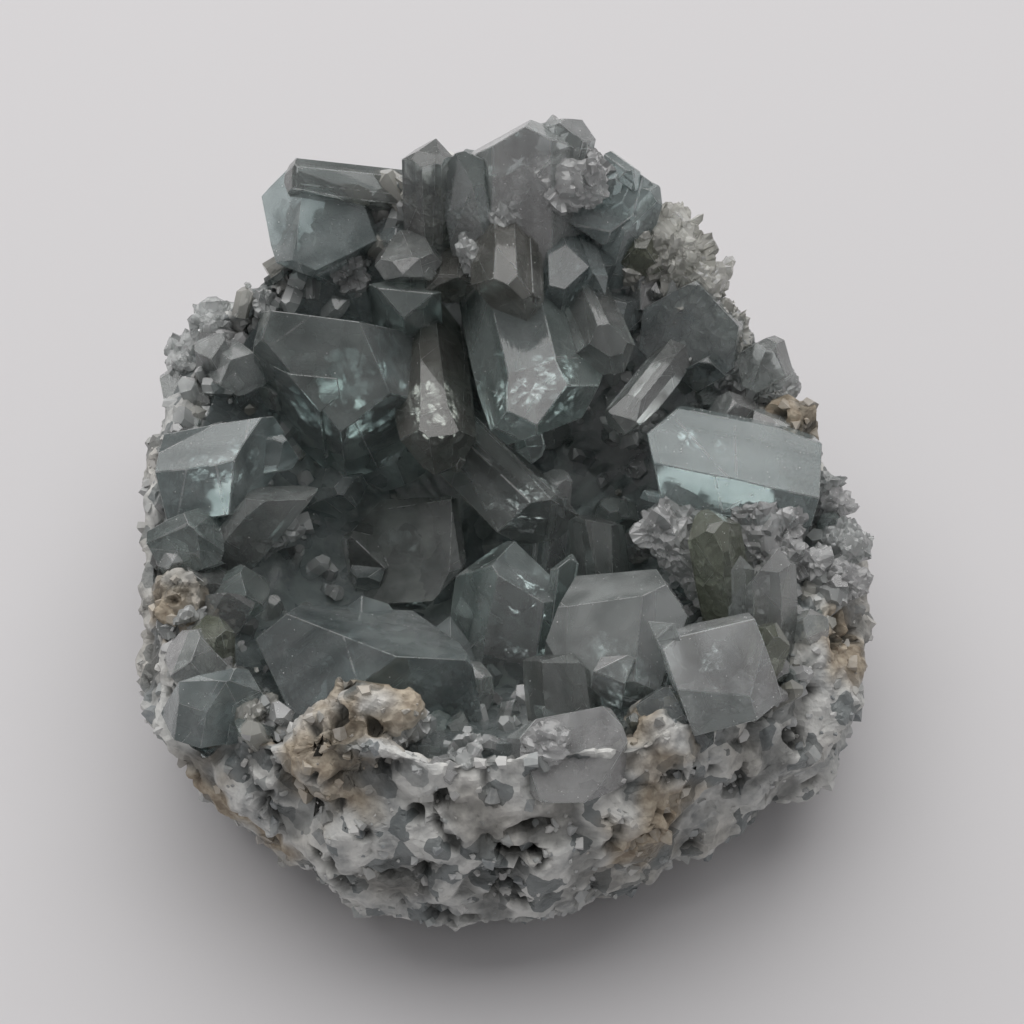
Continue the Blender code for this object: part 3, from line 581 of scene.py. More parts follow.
def root_length(tip, along, shortest):
    """How far back from its tip a crystal runs until it is rooted below the bowl's surface."""
    start = reach_share(tip)
    length = shortest
    for _ in range(ROOT_STEPS):
        point = tip - along * length
        share = reach_share(point)
        lip = around(LIP_HEIGHTS, math.atan2(point.y, point.x)) * MM
        surface = BOWL_FLOOR + (lip - BOWL_FLOOR) * min(1, share) ** BOWL_POWER
        rooted = share < ROOT_REACH and point.z < surface
        past_lip = share > ROOT_REACH and share > start
        if rooted or past_lip:
            break
        length += ROOT_STEP
    return length


def slice_off(point, normal):
    """Slice the solid being edited by a plane, drop what lies outside it and close the cut."""
    bpy.ops.mesh.select_all(action="SELECT")
    bpy.ops.mesh.bisect(
        plane_co=point, plane_no=normal, use_fill=True, clear_outer=True, threshold=CUT_LIMIT)


def crystal_planes(size, lean, bevel, end, chance):
    """The faces of a crystal, as normals and distances from the middle of its end."""
    breadth, thickness, _ = size

    def near(distance):
        return distance * chance.uniform(1 - UNEVEN, 1 + UNEVEN)

    planes = []
    for side in (1, -1):
        for face in (1, -1):
            prism = face_normal(0, side, face)
            planes.append((prism, near(prism.y * side * breadth / 2)))
        planes.append((face_normal(0, 0, side), near(thickness / 2)))
    short = END_SHORT[end] * breadth
    end_edge = Vector((short, lean * breadth / 2, 0))
    for side in (1, -1):
        chisel = face_normal(2, side, 0)
        planes.append((chisel, chisel.dot(end_edge)))
        slope = face_normal(1, 0, 2 * side)
        planes.append((slope, slope.z * side * near(thickness * bevel / 2) + slope.x * short))
    if end == "slant":
        planes.append((face_normal(2, 0, -1), 0))
    return planes


def tilted(normal, degrees, finish):
    """A direction near a normal, tilted to a side that chance picks."""
    side = normal.orthogonal().normalized()
    side.rotate(Matrix.Rotation(finish.uniform(0, math.tau), 3, normal))
    return (normal + side * math.tan(math.radians(degrees))).normalized()


def break_faces(piece, finish):
    """Break the larger faces, slightly as between two growth hillocks or steeply at one side."""
    faces = [(face.normal.copy(), face.center.copy(), face.area) for face in piece.data.polygons]
    length, breadth, thickness = piece.dimensions
    core = []
    for by_breadth, by_length, room in CORE:
        back = Vector((-by_breadth * breadth - by_length * length, 0, 0))
        core.append((back, room * thickness))
    for normal, centre, area in faces:
        if normal.x < BACKWARD or area < BREAK_AREA * MM * MM:
            continue
        for _ in range(1 + (area > TWICE_BROKEN * BREAK_AREA * MM * MM)):
            away = tilted(normal, ASIDE, finish) - normal
            away = (away - normal * away.dot(normal)).normalized()
            steep = finish.random() < STEEP_SHARE
            tilt = finish.uniform(*(STEEP_TILT if steep else SLIGHT_TILT))
            tilt *= min(1, BREAK_WIDTH * MM / math.sqrt(area))
            reach = math.sqrt(area) * (STEEP_PLACE if steep else finish.uniform(0, SLIGHT_PLACE))
            direction = (normal + away * math.tan(math.radians(tilt))).normalized()
            spot = centre + away * reach
            if all((spot - point).dot(direction) > spare for point, spare in core):
                slice_off(spot, direction)


def chip_corners(piece, count, finish):
    """Break small pieces off corners of a crystal's end."""
    bpy.ops.object.mode_set(mode="OBJECT")
    points = [vert.co.copy() for vert in piece.data.vertices]
    bpy.ops.object.mode_set(mode="EDIT")
    breadth = max(piece.dimensions.y, NO_LENGTH)
    points = [point for point in points if point.x > -CHIP_REACH * breadth]
    for _ in range(min(count, len(points))):
        point = points.pop(finish.randrange(len(points)))
        out = (point - Vector((-breadth, 0, 0))).normalized()
        normal = tilted(out, finish.uniform(*CHIP_TURN), finish)
        normal.x = max(normal.x, CHIP_FORWARD)
        normal.normalize()
        depth = finish.uniform(*CHIP_DEPTH) * min(MM, CHIP_LIMIT * breadth)
        slice_off(point - normal * depth, normal)


def model_block(name, size, planes):
    """A crystal cut from a block by its planes, left in edit mode."""
    breadth, thickness, length = size
    block = (length, breadth * BLOCK_SPARE, thickness * BLOCK_SPARE)
    deselect_all()
    bpy.ops.mesh.primitive_cube_add(size=1, location=(-length / 2, 0, 0), scale=block)
    piece = bpy.context.object
    piece.name = name
    bpy.ops.object.transform_apply(location=True, rotation=True, scale=True)
    bpy.ops.object.mode_set(mode="EDIT")
    for normal, distance in planes:
        slice_off(normal * distance, normal)
    return piece


def note_look(mesh, look, shift, shade):
    """Store a crystal's look on its faces, and on their corners its own axes (mm) and its root.

    Faces and corners keep their values when the crystals are joined, which points don't.
    """
    _, tint, cloud = LOOKS[look]
    places = [mesh.vertices[loop.vertex_index].co for loop in mesh.loops]
    start = min(min(vert.co.x for vert in mesh.vertices), -MM)
    # Painted light and shade: each facet is made lighter or darker by its direction, as light refracted
    # through the crystal would
    facet_light = [noise.noise(face.normal * FACET_LIGHT_SPREAD + shift) for face in mesh.polygons]
    tones_with_facet_light = [shade * (1 + FACET_PAINTED_LIGHT * facet) for facet in facet_light]
    note(mesh, "grain", "FLOAT_VECTOR", "CORNER", [part for place in places for part in place / MM + shift])
    note(mesh, "root", "FLOAT", "CORNER", [min(1, max(0, place.x / start)) for place in places])
    note(mesh, "tint", "FLOAT_VECTOR", "FACE", [min(1, part * shade) for shade in tones_with_facet_light for part in tint])
    note(mesh, "cloud", "FLOAT", "FACE", [cloud] * len(mesh.polygons))
    if "edge" not in mesh.attributes:
        note(mesh, "edge", "FLOAT", "FACE", [0] * len(mesh.polygons))


def note(mesh, name, kind, domain, values):
    """Store values, one or three to an element, as an attribute of a mesh."""
    mesh.attributes.new(name, kind, domain)
    mesh.attributes[name].data.foreach_set("vector" if kind == "FLOAT_VECTOR" else "value", values)


def make_sugary(piece, finish):
    """Turn a crystal's faces rough and granular, as where many small ones grew over it."""
    make_active(piece)
    fine = piece.modifiers.new("fine faces", "REMESH")
    fine.mode = "VOXEL"
    fine.voxel_size = SUGAR_FINENESS
    bpy.ops.object.modifier_apply(modifier=fine.name)
    shift = any_shift(finish)
    places = []
    for vert in piece.data.vertices:
        point = vert.co / MM + shift
        height = 0
        for width, slope in SUGAR:
            _, centres = noise.voronoi(point / width)
            height += (point / width - centres[0]).dot(noise.cell_vector(centres[0])) * slope
        places.append(vert.co + vert.normal * height * MM)
    for vert, place in zip(piece.data.vertices, places):
        vert.co = place


def is_narrow(mesh, face):
    """1 for a face no wider than a rounded edge, and 0 for a larger one."""
    points = [mesh.vertices[index].co for index in face.vertices]
    longest = max((start - end).length for start, end in zip(points, points[1:] + points[:1]))
    rounded = 2 * EDGE_WIDTH
    return float(face.area < longest * rounded)


def finish_crystal(piece, size, matrix, look, finish, plain=False):
    """Break, chip and round a crystal, note its growth axes and its look, and put it in place."""
    bpy.ops.object.mode_set(mode="OBJECT")
    bpy.ops.object.mode_set(mode="EDIT")
    if not plain:
        break_faces(piece, finish)
        chip_corners(piece, CHIPS + int(size[0] / MM / CHIP_BREADTH), finish)
    bpy.ops.mesh.select_all(action="SELECT")
    bpy.ops.mesh.remove_doubles(threshold=MERGE)
    bpy.ops.mesh.select_all(action="SELECT")
    bpy.ops.mesh.bevel(offset=EDGE_WIDTH, segments=1, affect="EDGES", clamp_overlap=True)
    bpy.ops.object.mode_set(mode="OBJECT")
    narrow = [is_narrow(piece.data, face) for face in piece.data.polygons]
    note(piece.data, "edge", "FLOAT", "FACE", narrow)
    if look in SUGARY:
        make_sugary(piece, finish)
    make_active(piece)
    bpy.ops.object.mode_set(mode="EDIT")
    end_as_triangles()
    shift = any_shift(finish)
    note_look(piece.data, look, shift, finish.uniform(*SHADES))
    piece.data.transform(matrix)


def model_veils(name, size, matrix, finish, collection):
    """Thin wavy fractures inside a crystal, along its cleavage and chisel faces."""
    breadth, thickness, _ = size
    for number in range(VEIL_COUNT):
        radius = finish.uniform(*VEIL_SIZE) * min(breadth, thickness)
        deselect_all()
        bpy.ops.mesh.primitive_circle_add(vertices=VEIL_CORNERS, radius=radius, fill_type="TRIFAN")
        veil = bpy.context.object
        veil.name = f"{name}_veil_{number + 1}"
        bpy.ops.object.mode_set(mode="EDIT")
        bpy.ops.mesh.subdivide(number_cuts=2)
        bpy.ops.object.mode_set(mode="OBJECT")
        wisps = [1 - vert.co.length / radius for vert in veil.data.vertices]
        note(veil.data, "wisp", "FLOAT", "POINT", wisps)
        stretch = finish.uniform(*VEIL_STRETCH)
        shift = any_shift(finish)
        for vert in veil.data.vertices:
            wave = noise.noise(vert.co / (radius * VEIL_WAVE_SIZE) + shift) * VEIL_WAVE * MM
            vert.co = Vector((vert.co.x, vert.co.y * stretch, wave))
        sheet = veil.modifiers.new("sheet", "SOLIDIFY")
        sheet.thickness = VEIL_SHEET
        sheet.offset = 0
        make_active(veil)
        bpy.ops.object.modifier_apply(modifier=sheet.name)
        plane = finish.choice((face_normal(0, 0, 1), face_normal(2, 1, 0), face_normal(2, -1, 0)))
        plane = tilted(plane, finish.uniform(*VEIL_TILT), finish)
        middle = Vector((
            -breadth * finish.uniform(*VEIL_BACK),
            breadth * finish.uniform(*VEIL_OFF_AXIS), thickness * finish.uniform(*VEIL_OFF_AXIS)))
        lie = plane.to_track_quat("Z", "Y").to_matrix().to_4x4()
        veil.data.transform(matrix @ Matrix.Translation(middle) @ lie)
        collection.objects.link(veil)


def grow_one(name, tip, turn, size, planes, look, finish, collection, veils):
    """One finished crystal, with veils inside and parallel growths beside it if it is large."""
    matrix = Matrix.Translation(tip) @ turn.to_4x4()
    if size[0] >= VEILED_BREADTH * MM:
        model_veils(name, size, matrix, finish, veils)
    piece = model_block(name, size, planes)
    finish_crystal(piece, size, matrix, look, finish)
    piece["look"] = look
    collection.objects.link(piece)
    breadth, thickness, length = size
    if breadth < STEP_BREADTH * MM:
        return
    for number in range(1 + (breadth > 2 * STEP_BREADTH * MM)):
        part = finish.uniform(*GROWTH_PART)
        beside = finish.choice((-1, 1)) * (0.5 - part / 2) * breadth * finish.uniform(*GROWTH_BESIDE)
        above = finish.choice((-1, 1)) * finish.uniform(*GROWTH_ABOVE) * thickness
        back = finish.uniform(*GROWTH_BACK) * breadth
        proud = finish.uniform(*GROWTH_PROUD) * MM
        shape = (breadth * part, thickness * finish.uniform(*GROWTH_THICKNESS), length - back)
        reach = Vector((-back, beside + math.copysign(proud, beside), above + math.copysign(proud, above)))
        limits = [(normal, distance + proud) for normal, distance in planes]
        own = crystal_planes(shape, 0, GROWTH_BEVEL, "block", finish)
        moved = [(normal, distance + normal.dot(reach)) for normal, distance in own]
        growth = model_block(f"{name}_growth_{number + 1}", size, moved + limits)
        bpy.ops.object.mode_set(mode="OBJECT")
        if not growth.data.polygons:
            bpy.data.objects.remove(growth, do_unlink=True)
            continue
        finish_crystal(growth, shape, matrix, look, finish, plain=True)
        growth["look"] = look
        collection.objects.link(growth)


def grow_small(name, root, breadth, turn, looks, chance, finish, collection, veils):
    """A small crystal over its root, by the same draws as in the solid model."""
    size = (breadth, breadth * chance.uniform(*SMALL_THICKNESS), breadth * SMALL_LENGTH)
    bevel = chance.uniform(*SMALL_BEVEL)
    end = chance.choice(("chisel", "block"))
    tip = root + turn.col[0] * breadth * SMALL_STAND
    planes = crystal_planes(size, 0, bevel, end, chance)
    grow_one(name, tip, turn, size, planes, finish.choice(looks), finish, collection, veils)


def grow_crystals(collection, veils):
    """Every crystal of the druse, each finished as its own shape.

    One row of chance is the solid model's, draw by draw, and the other is the finish's.
    """
    chance = random.Random(SEED)
    finish = random.Random(SEED + 1)
    for row in CRYSTALS:
        tip = view_point(row.across, row.up, row.height)
        turn = growth_frame(row.heading, row.rise, row.spin)
        breadth = row.breadth * MM
        shortest = breadth * (END_LENGTH * (1 + abs(row.lean)) + SHORTEST)
        length = root_length(tip, turn.col[0], shortest)
        size = (breadth, row.thickness * MM, length)
        planes = crystal_planes(size, row.lean, row.bevel, row.end, chance)
        grow_one(row.name, tip, turn, size, planes, row.look, finish, collection, veils)
    golden = math.pi * (3 - math.sqrt(5))
    for number in range(FILLER_COUNT):
        share = math.sqrt((number + 0.5) / FILLER_COUNT) * FILLER_REACH
        azimuth = number * golden % math.tau
        breadth = chance.uniform(*FILLER_SIZE) * MM
        heading = math.degrees(azimuth) + 180 + chance.uniform(-FILLER_TURN, FILLER_TURN)
        rise = 90 - FILLER_LEAN * share + chance.uniform(-FILLER_TILT, FILLER_TILT)
        turn = growth_frame(heading, rise, chance.uniform(0, 90))
        root = bowl_point(azimuth, share) + Vector((0, 0, BED_OVER))
        name = f"filler_{number + 1}"
        grow_small(name, root, breadth, turn, FILLER_LOOKS, chance, finish, collection, veils)
    for number in range(RIM_COUNT):
        azimuth = math.tau * (number + chance.uniform(*RIM_PLACE)) / RIM_COUNT
        if RIM_BARE[0] < math.degrees(azimuth) < RIM_BARE[1]:
            continue
        breadth = chance.uniform(*RIM_SIZE) * MM
        heading = math.degrees(azimuth) + chance.uniform(-RIM_TURN, RIM_TURN)
        turn = growth_frame(heading, chance.uniform(*RIM_RISE), chance.uniform(0, 90))
        root = bowl_point(azimuth, RIM_SHARE) + Vector((0, 0, BED_OVER / 2))
        name = f"rim_{number + 1}"
        grow_small(name, root, breadth, turn, RIM_LOOKS, chance, finish, collection, veils)


def build_bed():
    """The layer that all crystals root in, laid just over the rind's bowl."""
    sections = []
    for step in range(BED_SECTORS):
        azimuth = math.tau * step / BED_SECTORS
        below = [bowl_point(azimuth, share) for share in BED_SHARES]
        above = [bowl_point(azimuth, share * BED_TOP_REACH) for share in reversed(BED_SHARES)]
        under = [point - Vector((0, 0, BED_UNDER)) for point in below]
        sections.append(under + [point + Vector((0, 0, BED_OVER)) for point in above])
    rings = len(sections[0])
    deselect_all()
    bpy.ops.mesh.primitive_cylinder_add(vertices=BED_SECTORS, radius=1, depth=1, end_fill_type="NGON")
    bed = bpy.context.object
    bed.name = "druse"
    shape = bmesh.new()
    shape.from_mesh(bed.data)
    upright = [edge for edge in shape.edges if edge.verts[0].co.z * edge.verts[1].co.z < 0]
    bmesh.ops.subdivide_edges(shape, edges=upright, cuts=rings - 2, use_grid_fill=True)
    for vert in shape.verts:
        turn = math.atan2(vert.co.y, vert.co.x) / math.tau % 1
        ring = round((vert.co.z + 0.5) * (rings - 1))
        vert.co = sections[round(turn * BED_SECTORS) % BED_SECTORS][ring]
    caps = [face for face in shape.faces if len(face.verts) == BED_SECTORS]
    bmesh.ops.poke(shape, faces=caps)
    bmesh.ops.triangulate(shape, faces=shape.faces)
    bmesh.ops.recalc_face_normals(shape, faces=shape.faces)
    shape.to_mesh(bed.data)
    shape.free()
    note_look(bed.data, "slate", Vector((0, 0, 0)), 1)
    return bed


def is_sound(piece):
    """Whether a piece is one closed solid that faces outwards, as a union needs it."""
    shape = bmesh.new()
    shape.from_mesh(piece.data)
    closed = all(len(edge.link_faces) == 2 for edge in shape.edges)
    sound = closed and shape.calc_volume(signed=True) > 0
    shape.free()
    return sound


def join_crystals(group, first, grown):
    """Fuse a group of crystals that grew together into one closed solid."""
    members = new_collection(group)
    pieces = [piece for piece in grown.objects if LOOKS[piece["look"]][0] == group and piece != first]
    pieces = [piece for piece in pieces if is_sound(piece)]
    for piece in pieces:
        members.objects.link(piece)
    union = first.modifiers.new("grown together", "BOOLEAN")
    union.operation = "UNION"
    union.operand_type = "COLLECTION"
    union.collection = members
    union.solver = "MANIFOLD"
    make_active(first)
    bpy.ops.object.modifier_apply(modifier=union.name)
    for piece in pieces:
        bpy.data.objects.remove(piece, do_unlink=True)
    first.name = f"{group}_crystals"
    dress(first, celestite_material(group))
    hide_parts("crystals")
    return first


def small_variants(finish):
    """A few chipped crystals, 1 mm broad, that the tiny ones are copied from."""
    variants = []
    for number in range(TINY_VARIANTS):
        size = (MM, MM * finish.uniform(*SMALL_THICKNESS), MM * SMALL_LENGTH)
        planes = crystal_planes(size, 0, finish.uniform(*SMALL_BEVEL), "chisel", finish)
        piece = model_block(f"tiny_{number + 1}", size, planes)
        chip_corners(piece, 1, finish)
        bpy.ops.object.mode_set(mode="OBJECT")
        variants.append(piece)
    return variants


def grow_tiny(collection, finish):
    """Tiny crystals all over the bowl and thickest on the lip, copied from a few."""
    variants = small_variants(finish)
    for number in range(TINY_COUNT):
        on_lip = finish.random() < LIP_PART
        if on_lip:
            middle, spread = finish.choice(THICK_STRETCHES)
            azimuth = math.radians(finish.gauss(middle, spread)) % math.tau
            share = finish.uniform(*TINY_LIP)
        else:
            azimuth = finish.uniform(0, math.tau)
            share = finish.uniform(*TINY_BOWL) ** 0.5
        if share > LIP_FROM and RIM_BARE[0] < math.degrees(azimuth) < RIM_BARE[1]:
            continue
        breadth = TINY_SIZE[0] + (TINY_SIZE[1] - TINY_SIZE[0]) * finish.random() ** TINY_POWER
        heading = math.degrees(azimuth) + finish.uniform(-TINY_TURN, TINY_TURN) + (0 if on_lip else 180)
        if on_lip:
            rise = finish.uniform(*TINY_RISE)
        else:
            rise = 90 - FILLER_LEAN * share + finish.uniform(-TINY_TILT, TINY_TILT)
        turn = growth_frame(heading, rise, finish.uniform(0, 180))
        on_bed = share < BED_TOP_REACH * BED_SHARES[-1]
        over = BED_OVER * (1 if on_bed else finish.uniform(0, TINY_OVER))
        tip = bowl_point(azimuth, share) + Vector((0, 0, over)) + turn.col[0] * breadth * MM * SMALL_STAND
        mesh = finish.choice(variants).data.copy()
        mesh.transform(Matrix.Scale(breadth, 4))
        shift = any_shift(finish)
        look = finish.choice(TINY_LOOKS)
        note_look(mesh, look, shift, finish.uniform(*TINY_SHADES))
        mesh.transform(Matrix.Translation(tip) @ turn.to_4x4())
        piece = bpy.data.objects.new(f"tiny_crystal_{number + 1}", mesh)
        piece["look"] = look
        collection.objects.link(piece)
    for piece in variants:
        bpy.data.objects.remove(piece, do_unlink=True)


def build_rock():
    """The rind, grown from the solid one: a fine grainy outside and lip over its own form."""
    rock = bpy.data.objects.new("rind_rock", frame["nodes"]["matrix"].data.copy())
    bpy.context.scene.collection.objects.link(rock)
    make_active(rock)
    bpy.ops.object.mode_set(mode="EDIT")
    bpy.ops.mesh.select_all(action="SELECT")
    bpy.ops.mesh.remove_doubles(threshold=NO_LENGTH)
    bpy.ops.mesh.select_all(action="DESELECT")
    bpy.ops.object.mode_set(mode="OBJECT")
    for _ in range(ROCK_PASSES):
        refine_rock(rock)
    for vert in rock.data.vertices:
        vert.select = vert.co.z > ROCK_FOOT and reach_share(vert.co) > ROCK_FINE_FROM
    bpy.ops.object.mode_set(mode="EDIT")
    bpy.ops.mesh.select_mode(type="VERT")
    bpy.ops.mesh.vertices_smooth(factor=0.5, repeat=ROCK_SMOOTHED)
    bpy.ops.object.mode_set(mode="OBJECT")
    roughen_rock(rock.data)
    return rock


def refine_rock(rock):
    """Halve the longer edges of the rock's outside and lip."""
    bpy.ops.object.mode_set(mode="EDIT")
    bpy.ops.mesh.select_mode(type="EDGE")
    bpy.ops.mesh.select_all(action="DESELECT")
    bpy.ops.object.mode_set(mode="OBJECT")
    verts = rock.data.vertices
    for edge in rock.data.edges:
        start, end = (verts[index].co for index in edge.vertices)
        outside = min(reach_share(start), reach_share(end)) > ROCK_FINE_FROM
        standing = max(start.z, end.z) > ROCK_FLAT
        edge.select = outside and standing and (end - start).length > ROCK_EDGE
    bpy.ops.object.mode_set(mode="EDIT")
    bpy.ops.mesh.subdivide(number_cuts=1)
    end_as_triangles()


def smooth_step(low, high, value):
    """0 below low, 1 above high, and a smooth rise between."""
    share = max(0, min(1, (value - low) / (high - low)))
    return share * share * (3 - 2 * share)


def stain_at(point):
    """How tan the rock is at a point (mm)."""
    total = STAIN_FAINT * smooth_step(*STAIN_FAINT_EDGE, noise.noise(point / STAIN_FAINT_SIZE))
    for across, up, height, radius in STAINS:
        middle = view_point(across, up, height) / MM
        away = (point - middle).length / radius + STAIN_BEND * noise.noise(point / STAIN_BEND_SIZE)
        total = max(total, 1 - smooth_step(*STAIN_FADE, away))
    return total


def cavity_at(point):
    """How far into a cavity a point (mm) is, and how deep the rock is sunk there."""
    most = 0
    sunk = 0
    for across, up, height, radius, depth in CAVITIES:
        middle = view_point(across, up, height) / MM
        away = (point - middle).length / radius + CAVITY_BEND * noise.noise(point / CAVITY_BEND_SIZE)
        inside = 1 - smooth_step(*CAVITY_FADE, away)
        most = max(most, inside)
        sunk = max(sunk, inside * depth)
    return most, sunk


def roughen_rock(mesh):
    """Raise lumps, knobs and grit, sink pits, and note the rock's stains and painted shade in its hollows.
    """
    stains = []
    hollow_shades = []
    places = []
    for vert in mesh.vertices:
        point = vert.co / MM
        inner = smooth_step(*RELIEF_FROM, reach_share(vert.co))
        fade = min(1, point.z / RELIEF_FOOT) * inner
        crooked = point + noise.noise_vector(point / RELIEF_BEND_SIZE) * RELIEF_BEND
        height = 0
        for width, stand in ROCK_RELIEF:
            near, _ = noise.voronoi(crooked / width)
            knob = min(1, (near[1] - near[0]) * KNOB_STEEPNESS)
            swell = noise.noise(crooked / width + RELIEF_SHIFT)
            height += (knob * KNOB_SHARE + swell - RELIEF_LOWERED) * stand
        pit = smooth_step(*PIT_EDGE, noise.noise(point / PIT_WIDTH + PIT_SHIFT))
        pit *= smooth_step(*PIT_GAPS, noise.noise(point / PIT_BREAKS))
        cavity, sunk = cavity_at(point)
        places.append(vert.co + vert.normal * (height - pit * PIT_DEPTH - sunk) * MM * fade)
        stains.append(stain_at(point))
        # Painted shade: pits, cavities and low places of the relief are noted to be darkened
        hollow_shades.append(max(pit, cavity, LOW_PLACE_SHADE * smooth_step(0, -1, height)))
    for vert, place in zip(mesh.vertices, places):
        vert.co = place
    note(mesh, "stain", "FLOAT", "POINT", stains)
    note(mesh, "hollow_shade", "FLOAT", "POINT", hollow_shades)


def model_chunks(finish):
    """A few angular chunks, 1 mm wide, that the grains and the dust are copied from."""
    chunks = []
    for number in range(CHUNK_VARIANTS):
        deselect_all()
        bpy.ops.mesh.primitive_cube_add(size=1 * MM)
        chunk = bpy.context.object
        chunk.name = f"chunk_{number + 1}"
        bpy.ops.object.mode_set(mode="EDIT")
        for _ in range(CHUNK_CUTS):
            normal = Vector([finish.gauss(0, 1) for _ in range(3)]).normalized()
            slice_off(normal * finish.uniform(*CHUNK_REACH) * MM, normal)
        end_as_triangles()
        chunks.append(chunk)
    return chunks


def spots_on(mesh, count, accept, finish):
    """Points spread over the accepted faces of a mesh by area, with the faces' normals."""
    faces = [face for face in mesh.polygons if accept(face)]
    areas = [face.area for face in faces]
    spots = []
    for face in finish.choices(faces, areas, k=count):
        first, second, third = (mesh.vertices[index].co for index in face.vertices[:3])
        one, two = finish.random(), finish.random()
        if one + two > 1:
            one, two = 1 - one, 1 - two
        spots.append((first + (second - first) * one + (third - first) * two, face.normal.copy()))
    return spots


def strew(name, chunks, spots, size, sunk, tone_at, finish):
    """One piece of many chunks, each with its own mesh and colour, set into a surface."""
    copies = []
    for point, normal in spots:
        width = size[0] + (size[1] - size[0]) * finish.random() ** 2
        mesh = finish.choice(chunks).data.copy()
        turn = Matrix.Rotation(finish.uniform(0, math.tau), 4, tilted(Vector((0, 0, 1)), GRAIN_TILT, finish))
        breadth = width * finish.uniform(*CHUNK_BREADTH)
        flat = Matrix.Diagonal((width, breadth, width * finish.uniform(*CHUNK_HEIGHT), 1))
        place = point + normal * width * sunk * MM
        mesh.transform(Matrix.Translation(place) @ turn @ flat)
        note(mesh, "tint", "FLOAT_VECTOR", "FACE", [*tone_at(point / MM)] * len(mesh.polygons))
        piece = bpy.data.objects.new(name, mesh)
        bpy.context.scene.collection.objects.link(piece)
        copies.append(piece)
    return join_pieces(copies, name)


def dress(piece, material):
    """Give a new piece its one material and its body."""
    piece.data.materials.clear()
    piece.data.materials.append(material)
    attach(piece, "root")


def build_grains(rock, chunks, finish):
    """Angular grains all over the rock's outside and lip, grey, white and tan as the rock is."""
    def accept(face):
        return face.center.z > GRAIN_FOOT and reach_share(face.center) > GRAINS_FROM

    def tone_at(point):
        grey = finish.choice(GRAIN_GREYS)
        tan = finish.choice(GRAIN_TANS)
        share = min(1, stain_at(point) * finish.uniform(*GRAIN_TAN_SHARE))
        return [low + (high - low) * share for low, high in zip(grey, tan)]

    spots = spots_on(rock.data, GRAIN_COUNT, accept, finish)
    return strew("rind_grains", chunks, spots, GRAIN_SIZE, GRAIN_SUNK, tone_at, finish)


def build_dust(crystals, chunks, finish):
    """White specks of dust and chips that lie on the crystals' upper faces."""
    def accept(face):
        return face.normal.z > DUST_LEVEL

    def tone_at(_):
        return [finish.uniform(*DUST_WHITES)] * 3

    spots = []
    for piece in crystals:
        spots += spots_on(piece.data, DUST_COUNT // len(crystals), accept, finish)
    return strew("dust_specks", chunks, spots, DUST_SIZE, 0, tone_at, finish)


def join_veils(veils):
    """All the veils as one piece."""
    joined = join_pieces(list(veils.objects), "inner_veils")
    dress(joined, veil_material())


def new_material(name):
    """A node material, its tree and its Principled shader."""
    made = bpy.data.materials.new(name)
    made.use_nodes = True
    return made, made.node_tree, made.node_tree.nodes["Principled BSDF"]


def feed(tree, target, source):
    """Link a socket to another, or set its value."""
    if isinstance(source, bpy.types.NodeSocket):
        tree.links.new(source, target)
    else:
        target.default_value = source


def add_node(tree, kind, links=(), **values):
    """A node with its properties set and its inputs set or linked."""
    node = tree.nodes.new(kind)
    for key, value in values.items():
        setattr(node, key, value)
    for socket, source in dict(links).items():
        feed(tree, node.inputs[socket], source)
    return node


def stored(tree, name, output="Fac"):
    """What a mesh holds under a name."""
    return add_node(tree, "ShaderNodeAttribute", attribute_name=name).outputs[output]


def ramp(tree, source, low, high):
    """A value stretched so that low becomes 0 and high 1, clamped."""
    node = add_node(tree, "ShaderNodeMapRange", {"Value": source, "From Min": low, "From Max": high})
    return node.outputs["Result"]


def mixed(tree, share, first, second):
    """A colour mixed from two by a share."""
    node = tree.nodes.new("ShaderNodeMix")
    node.data_type = "RGBA"
    for socket, source in (("Factor_Float", share), ("A_Color", first), ("B_Color", second)):
        feed(tree, next(item for item in node.inputs if item.identifier == socket), source)
    return next(item for item in node.outputs if item.identifier == "Result_Color")


def maths(tree, operation, first, second, clamp=False):
    """The result of one sum on two values."""
    node = tree.nodes.new("ShaderNodeMath")
    node.operation = operation
    node.use_clamp = clamp
    for target, source in zip(node.inputs, (first, second)):
        feed(tree, target, source)
    return node.outputs["Value"]


def noise_at(tree, place, scale, detail=3.0, distortion=0.0):
    """Noise of a size at a place."""
    return add_node(tree, "ShaderNodeTexNoise", {
        "Vector": place, "Scale": scale, "Detail": detail, "Distortion": distortion}).outputs["Fac"]


def pattern(tree, place, row):
    """A pattern of noise from 0 to 1, by its row of values."""
    scale, detail, distortion, low, high = row
    return ramp(tree, noise_at(tree, place, scale, detail, distortion), low, high)


def scaled(tree, value, share):
    """A value times a share."""
    return maths(tree, "MULTIPLY", value, share)


def new_group(name, inputs, outputs):
    """A node group with its sockets, its input node and its output node."""
    group = bpy.data.node_groups.new(name, "ShaderNodeTree")
    for socket, kind in inputs:
        group.interface.new_socket(socket, in_out="INPUT", socket_type=kind)
    for socket, kind in outputs:
        group.interface.new_socket(socket, in_out="OUTPUT", socket_type=kind)
    return group, group.nodes.new("NodeGroupInput"), group.nodes.new("NodeGroupOutput")


